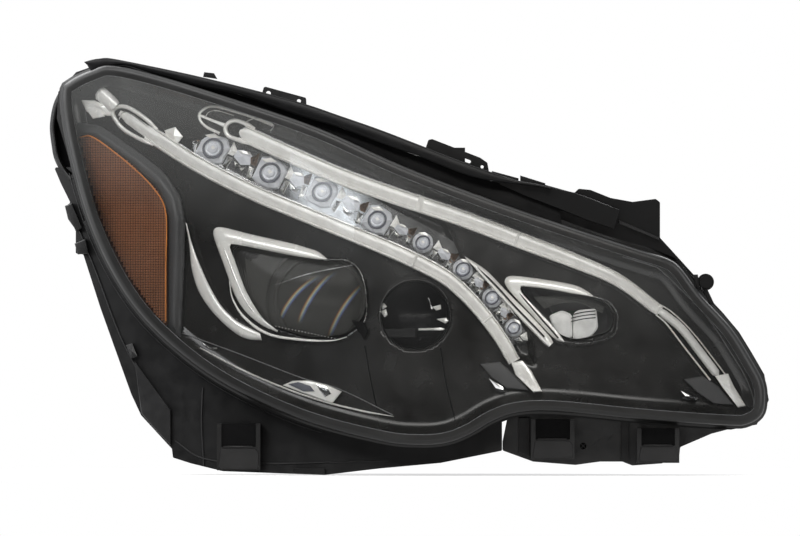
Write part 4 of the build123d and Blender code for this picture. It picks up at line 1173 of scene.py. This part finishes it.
def lamp_bridge(number, start, end, width):
    """The cut clear piece between two lamps, with a chrome fold on its lower edge and a bright chip near its
    upper edge: a painted highlight.
    """
    run = (end - start).normalized()
    side = Vector((-run.y, run.x))
    mid, reach = (start + end) / 2, (end - start).length * 0.17
    for part, cut, front, peak, look in (
        ("block", xz(-1.0, 0.7, -0.2, 1.0, 0.9, 0.75, 1.0, -0.1, 0.1, -0.45, -0.9, 0.0), 27, 3.5, "lamp"),
        ("fold", xz(-0.9, -0.15, 0.0, -0.5, 0.9, -0.3, 0.5, -0.95, -0.4, -0.8), 27.5, 3.0, "chrome"),
        ("gleam", xz(-0.7, 0.72, 0.1, 0.92, 0.5, 0.72, -0.2, 0.55), 23.4, 0.4, "bright"),
    ):
        outline = [mid + run * u * reach + side * v * width / 2 for u, v in cut]
        chip(f"daytime_{part}_{number}", outline, front, front + 4, look, peak, 0.5, slot="bright_trim")


for number, lamp in enumerate(LAMPS, start=1):
    daytime_lamp(number, *lamp)
for number in range(1, 8):
    lamp_bridge(number, LAMP_LINE[number - 1], LAMP_LINE[number], 21 if number < 4 else 15)

# ---------------------------------------------------------------- outside the cover
LIP_TOP = xz(-335, 80.3, -327, 82.4, -319.5, 83.2, -310.5, 83.2, -274.5, 76, -229.5, 66.1, -175.5, 52.6,
    -135, 41.4, -103.5, 30.6, -67.5, 18, -27.9, 2.7, 10, -12, 50, -26, 72, -30.5, 86, -33.5)
LIP_FOOT = xz(-335, 79.8, -331, 76, -327.6, 72, -301.5, 77, -274.5, 69.8, -229.5, 57.6, -193.5, 49.5,
    -139.5, 30.6, -103.5, 19.8, -67.5, 6.3, -31.5, -6.3, 4.5, -20.7, 31.5, -27.9, 72, -33, 86, -36)
SHELF_TOP = xz(-327, 73, -301.5, 77, -274.5, 69.8, -193.5, 49.5, -103.5, 19.8, -31.5, -6.3, 31.5, -27.9,
    92, -38)
SHELF_FOOT = xz(-327, 70, -309, 74, -265.5, 63, -193.5, 41, -121.5, 16, -49.5, -16, 22.5, -44, 96, -69)
band("upper_lip", LIP_TOP, LIP_FOOT, 12, 1.4, "gloss", 120, 8, thick=12, node="upper_seal_strip")
band("upper_shelf", SHELF_TOP, SHELF_FOOT, 27, 0.6, "gloss", 90, 4, thick=4)
wire("upper_lip_edge", [(x, z - 0.8) for x, z in LIP_TOP[2:-2]], 0.7, 0.5, 11.4, "bracket", slot="lip")
chip("upper_lip_tab", xz(-227, 66, -226, 70.3, -217, 69.3, -214, 64), 14, 20, "bracket", 0.3, 0.6)

LOOP_LINE = xz(-349, 58, -356, 52, -361, 42, -363.6, 30, -364.3, 19, -362.6, 5, -360.4, -6, -355, -17,
    -348, -26)
tube("fender_ring", LOOP_LINE, 2.5, 2.9, 6, 41, "bracket", count=16, node="fender_loop")
LOOP_FILL = xz(-352, 54, -360, 44, -363.5, 30, -364, 18, -361, 0, -355, -16, -346, -26, -340, 0, -346, 40)
chip("fender_web", LOOP_FILL, 44, 47, "void", 0.0, 0.8, slot="bracket_plastic")

# Raised parts of the lower skirt: the clips at its outer edge, a folded facet, a tab and three folds.
for name, outline, front, back, peak, look in (
    ("skirt_clip_1", xz(-353, -50, -347, -47.5, -337, -70, -342, -73, -350, -62), 31, 37, 1.0, "bracket"),
    ("skirt_clip_2", xz(-344, -84, -334, -80, -331, -93, -341, -94), 31, 37, 1.0, "bracket"),
    ("skirt_clip_3", xz(-336, -64, -328, -61, -322, -74, -331, -77), 32, 37, 1.5, "ridge"),
    ("skirt_clip_4", xz(-297, -176, -291, -174, -286, -186, -292, -188), 32, 37, 1.5, "ridge"),
    ("skirt_facet", xz(-289, -190, -256, -234, -256, -266, -268, -254, -283, -237), 33, 37, 2.0, "ridge"),
    ("skirt_foot_tab", xz(-145, -286, -117, -286, -117, -291, -145, -291), 32, 37, 0.5, "bracket"),
):
    chip(name, outline, front, back, look, peak, 0.8, slot="bracket_plastic")
for name, line in (
    ("skirt_fold", xz(-227, -214, -228, -245, -226, -284)),
    ("skirt_lower_fold", xz(-252, -262, -225, -278, -170, -282, -60, -279)),
    ("skirt_side_fold", xz(-345, -60, -325, -108, -300, -172, -270, -226)),
):
    wire(name, line, 1.4, 1.0, 36, "ridge")
# Two fine lines round the lower left of the flange, in the lighter ridge black: painted highlights.
for k, gap in enumerate((3.4, 5.6)):
    ring = [p for p in grown(OUTLINE, gap) if -255 < p.y < -20 and p.x < -60]
    wire(f"flange_line_{k}", ring, 0.9, 0.7, 30.6, "ridge", slot="housing_plastic")

# The clips' boxes: a lit front face below each opening, in the lighter ridge black, and a deep black sheet
# for the dark of the opening: painted shade.
for name, x0, x1, z0, z1, y in (
    ("clip_1", -213, -176, -287, -247, -38.6),
    ("clip_2", 69, 106, -277, -243, -74.6),
    ("clip_3", 164, 200, -280, -251, -74.6),
):
    mid = (z0 + z1) / 2
    foot = xz(x1, mid - 5, x1, z0 + 2, x1 - 2, z0, x0 + 2, z0)
    face = xz(x0, z0 + 2, x0 + 2, mid - 1, x1 - 3, mid - 1) + foot
    dark = xz(x0 + 1, mid, x1 - 2, mid, x1 - 2, z1 + 1, x0 + 1, z1 + 1)
    lip = xz(x0 + 3, mid - 1, x0 + 5, mid + 1, x1 - 6, mid + 1, x1 - 4, mid - 1)
    chip(f"{name}_face", face, y, y + 4, "ridge", 0.6, 1.0, flat_point)
    chip(f"{name}_dark", dark, y + 2.5, y + 4, "void", 0, 0.2, flat_point, slot="bracket_plastic")
    chip(f"{name}_lip", lip, y + 0.4, y + 4, "bracket", 0.4, 0.4, flat_point)

HOLE_X, HOLE_Z = 115, -266
chip("bracket_boss", oval(HOLE_X, HOLE_Z, 5, 5, count=24), -47.5, -44, "void", 0.2, 0.4, flat_point,
    slot="bracket_plastic")
for k, turn in enumerate((45, 135)):
    bar = oval(HOLE_X, HOLE_Z, 3.4, 0.5, turn, 8)
    chip(f"bracket_cross_{k}", bar, -48.2, -46, "ridge", 0.1, 0.1, flat_point)
for k, x in enumerate((128, 139)):
    bar = oval(x, -262 + 3 * k, 4.2, 0.6, 45, 8)
    chip(f"bracket_mark_{k}", bar, -52.8, -50, "ridge", 0.1, 0.1, flat_point)
for name, outline in (
    ("bracket_ridge", xz(149, -243, 156, -243, 156, -280, 149, -280)),
    ("bracket_step", xz(57, -240, 67, -240, 67, -276, 57, -272)),
):
    chip(name, outline, -56, -50, "bracket", 0.6, 1.0, flat_point)

# Above the cover: the tabs beside the rail bracket, the glossy end plate and a ridge of the inner flange.
for name, outline, front, back, look in (
    ("rail_tab_1", xz(33, -19, 57, -25.5, 57, -34, 33, -29), -36, -32, "bracket"),
    ("rail_tab_2", xz(58.5, -23, 81, -30, 81, -38, 58.5, -33), -38, -34, "bracket"),
    ("end_plate", xz(36, -26, 72, -30.5, 107, -38.5, 121, -43.5, 147.6, -54, 142.5, -71, 118, -63, 94.5, -54,
        62, -41, 40, -31), -58, -50, "gloss"),
    ("flange_ridge", xz(146.7, -63, 183, -78.5, 183, -81, 146.7, -66), -49, -43, "ridge"),
    ("boss_rib_1", xz(222, -124, 226, -124, 233, -139, 228, -139), -46, -41, "bracket"),
    ("boss_rib_2", xz(214, -112, 216, -124, 220, -126, 218, -112), -46, -41, "bracket"),
):
    chip(name, outline, front, back, look, 0.4, 0.8, flat_point, slot="bracket_plastic")


# ---------------------------------------------------------------- behind the housing
BACK = 150


def block(name, outline, low_y, high_y, look, soft=0.5, **kw):
    """A flat piece behind the housing: the outline between two depths, its edges rounded."""
    rings = [[flat_point(x, z, y) for x, z in outline] for y in (low_y, high_y)]
    bevel(loops(name, rings, look, True, True, **kw), soft)


def rib(name, start, end, width, height):
    """A stiffening rib on the housing's back."""
    a, b = Vector(start), Vector(end)
    run = (b - a).normalized()
    side = Vector((-run.y, run.x)) * width / 2
    block(name, (a + side, a - side, b - side, b + side), BACK - 1, BACK + height, "housing")


for k, (start, end) in enumerate((
    ((-250, -20), (-70, -20)), ((-176, -46), (-70, -46)), ((-176, -92), (-176, 6)), ((-110, -78), (-110, -4)),
    ((76, -190), (76, -74)), ((110, -186), (110, -96)), ((144, -178), (144, -124)), ((76, -130), (160, -130)),
    ((76, -160), (170, -160)), ((-112, -206), (12, -206)), ((-186, -160), (-150, -198)),
    ((-262, -146), (-262, -20)),
)):
    rib(f"housing_rib_{k}", start, end, 2.2, 3.0)


def screw(name, x, z, y, radius):
    """A cross-slot screw head on the housing's back; the cross is a deep black bar on the head, painted shade
    for its recess.
    """
    head = []
    for share, rise in ((1.0, -1), (1.0, 1.0), (0.85, 1.8), (0.4, 2.1)):
        ring = oval(x, z, radius * share, radius * share, count=24)
        head.append([flat_point(p.x, p.y, y + rise) for p in ring])
    loops(f"{name}_head", head, "sheet", cap_last=True)
    for k, turn in enumerate((45, 135)):
        bar = oval(x, z, radius * 0.55, radius * 0.12, turn, 8)
        block(f"{name}_slot_{k}", bar, y + 1.7, y + 2.3, "void", 0.05, slot="sheet_metal")


screws = xz(-264, -14, -180, -14, -264, -152, -180, -152, 0, -86, 64, -86, 0, -194, 64, -194)
for k, (x, z) in enumerate(screws):
    screw(f"driver_screw_{k}", x, z, BACK, 3.6)


def cap_grip(name, body, x, z, radius, count):
    """A ring of finger grips round a round cap."""
    verts, faces = [], []
    for k in range(count):
        a = 2 * math.pi * k / count
        out, along = Vector((math.cos(a), math.sin(a))), Vector((-math.sin(a), math.cos(a)))
        i = len(verts)
        for y in (BACK + 1.5, BACK + 8.5):
            for r, t in ((radius - 3, -1.6), (radius + 0.4, -1.1), (radius + 0.4, 1.1), (radius - 3, 1.6)):
                p = Vector((x, z)) + out * r + along * t
                verts.append(flat_point(p.x, p.y, y))
        faces += [(i, i + 1, i + 2, i + 3), (i + 7, i + 6, i + 5, i + 4)] + ring_faces(4, 2, i)
    bevel(finish_mesh(name, verts, faces, "cap", body=body), 0.4)


cap_grip("low_cap_grips", "low_beam_cap", LOW_X, LOW_Z, 49, 28)
cap_grip("high_cap_grips", "high_beam_cap", HIGH_X, HIGH_Z, 35, 22)
cap_grip("marker_grips", "marker_lamp", -290, -60, 17, 14)


# ---------------------------------------------------------------- studio
FLOOR_REACH = 4.0
FLOOR_SIDES = 96
FLOOR_Z = cad_low.z - 0.0005
TARGET = Vector((-0.05, -0.05, -0.11))
WARM = (1.0, 0.98, 0.945)


def stage_material():
    """The pale floor: matt near the lamp, and evenly bright further out."""
    mat, tree, bsdf = new_material("studio_white")
    fill(tree, bsdf, {"Base Color": mottled(tree, 300, 2, (0.87,) * 3, (0.89,) * 3), "Roughness": 0.9})
    glow = add(tree, "Emission", {"Color": (1, 1, 1, 1), "Strength": 1.0})[0]
    length = add(tree, "VectorMath", {0: place(tree)}, operation="LENGTH")["Value"]
    show(tree, mixed(tree, ranged(tree, length, 0.55, 1.0, 0.2, 0.75), bsdf.outputs[0], glow))
    return mat


def build_stage():
    """A round pale floor under the lamp."""
    turns = [2 * math.pi * k / FLOOR_SIDES for k in range(FLOOR_SIDES)]
    edge = [Vector((math.cos(a) * FLOOR_REACH, math.sin(a) * FLOOR_REACH, FLOOR_Z)) for a in turns]
    mesh = bpy.data.meshes.new("floor")
    faces = [(0, 1 + k, 1 + (k + 1) % FLOOR_SIDES) for k in range(FLOOR_SIDES)]
    mesh.from_pydata([Vector((0, 0, FLOOR_Z))] + edge, [], faces)
    obj = bpy.data.objects.new("floor", mesh)
    bpy.context.scene.collection.objects.link(obj)
    mesh.materials.append(stage_material())


def softbox(name, azimuth, elevation, distance, width, height, glow, colour=(1, 1, 1)):
    """A soft light that faces the lamp, of radiance `glow`. Azimuth 0 is in front, positive to the right."""
    a, e = math.radians(azimuth), math.radians(elevation)
    light = bpy.data.lights.new(name, "AREA")
    light.shape = "RECTANGLE"
    light.size, light.size_y = width, height
    light.energy = glow * math.pi * width * height
    light.color = colour
    obj = bpy.data.objects.new(name, light)
    way = Vector((math.sin(a) * math.cos(e), -math.cos(a) * math.cos(e), math.sin(e)))
    obj.location = TARGET + way * distance
    obj.rotation_euler = (TARGET - obj.location).to_track_quat("-Z", "Y").to_euler()
    obj.visible_camera = False
    bpy.context.scene.collection.objects.link(obj)


def build_world():
    """White behind the lamp for the camera; for light, bright at the back and dark in front."""
    world = bpy.data.worlds.new("studio")
    world.use_nodes = True
    tree = world.node_tree
    base = tree.nodes["Background"]
    shades = ((0.0, (0.012, 0.012, 0.013)), (0.45, (0.02, 0.02, 0.022)), (0.75, (0.55, 0.56, 0.58)))
    depth = ranged(tree, axes(tree, "Generated")["Y"], 0, 1, -1, 1)
    fill(tree, base, {"Color": colours(tree, depth, shades)})
    white = add(tree, "Background", {"Color": (1, 1, 1, 1)})[0]
    seen = add(tree, "LightPath", {})["Is Camera Ray"]
    show(tree, mixed(tree, seen, base.outputs[0], white), "World Output")
    bpy.context.scene.world = world


build_stage()
build_world()
# The cover's face mirrors only the band about 8 to 17 degrees up, so the big lights keep above and below it.
for light in (
    ("front_high", 5, 46, 2.4, 2.4, 1.3, 5.2, WARM),
    ("front_mid", 3, 32, 2.4, 2.6, 0.34, 4.4, WARM),
    ("left_high", -62, 44, 2.4, 2.2, 1.3, 6.4),
    ("overhead", 180, 80, 2.0, 2.4, 1.4, 3.0),
    ("left_side", -112, 20, 2.2, 1.2, 1.6, 3.0),
    ("right_side", 72, 22, 2.2, 1.2, 1.7, 4.0),
    ("low_front", 5, -3, 3.0, 3.6, 0.5, 3.0, (1.0, 0.97, 0.93)),
    ("back_left", -150, 30, 2.4, 1.2, 0.8, 4.5),
    ("back_right", 150, 30, 2.4, 1.2, 0.8, 4.5),
    ("window", -36, 16.4, 2.1, 0.46, 0.042, 3.3, (0.90, 0.95, 1.0)),
):
    softbox(*light)

# The camera looks along +Y, square to the lamp, from far enough that nothing is foreshortened.
CAMERA_REACH = 20.0
VIEW_WIDTH = 0.72
camera = bpy.data.cameras.new("camera")
camera.sensor_width = 36
camera.lens = camera.sensor_width * CAMERA_REACH / VIEW_WIDTH
camera.clip_end = 60
camera_object = bpy.data.objects.new("camera", camera)
camera_object.location = (-0.0495, -CAMERA_REACH, -0.1062)
camera_object.rotation_euler = (math.pi / 2, 0, 0)
bpy.context.scene.collection.objects.link(camera_object)
bpy.context.scene.camera = camera_object
bpy.context.scene.view_settings.view_transform = "Standard"
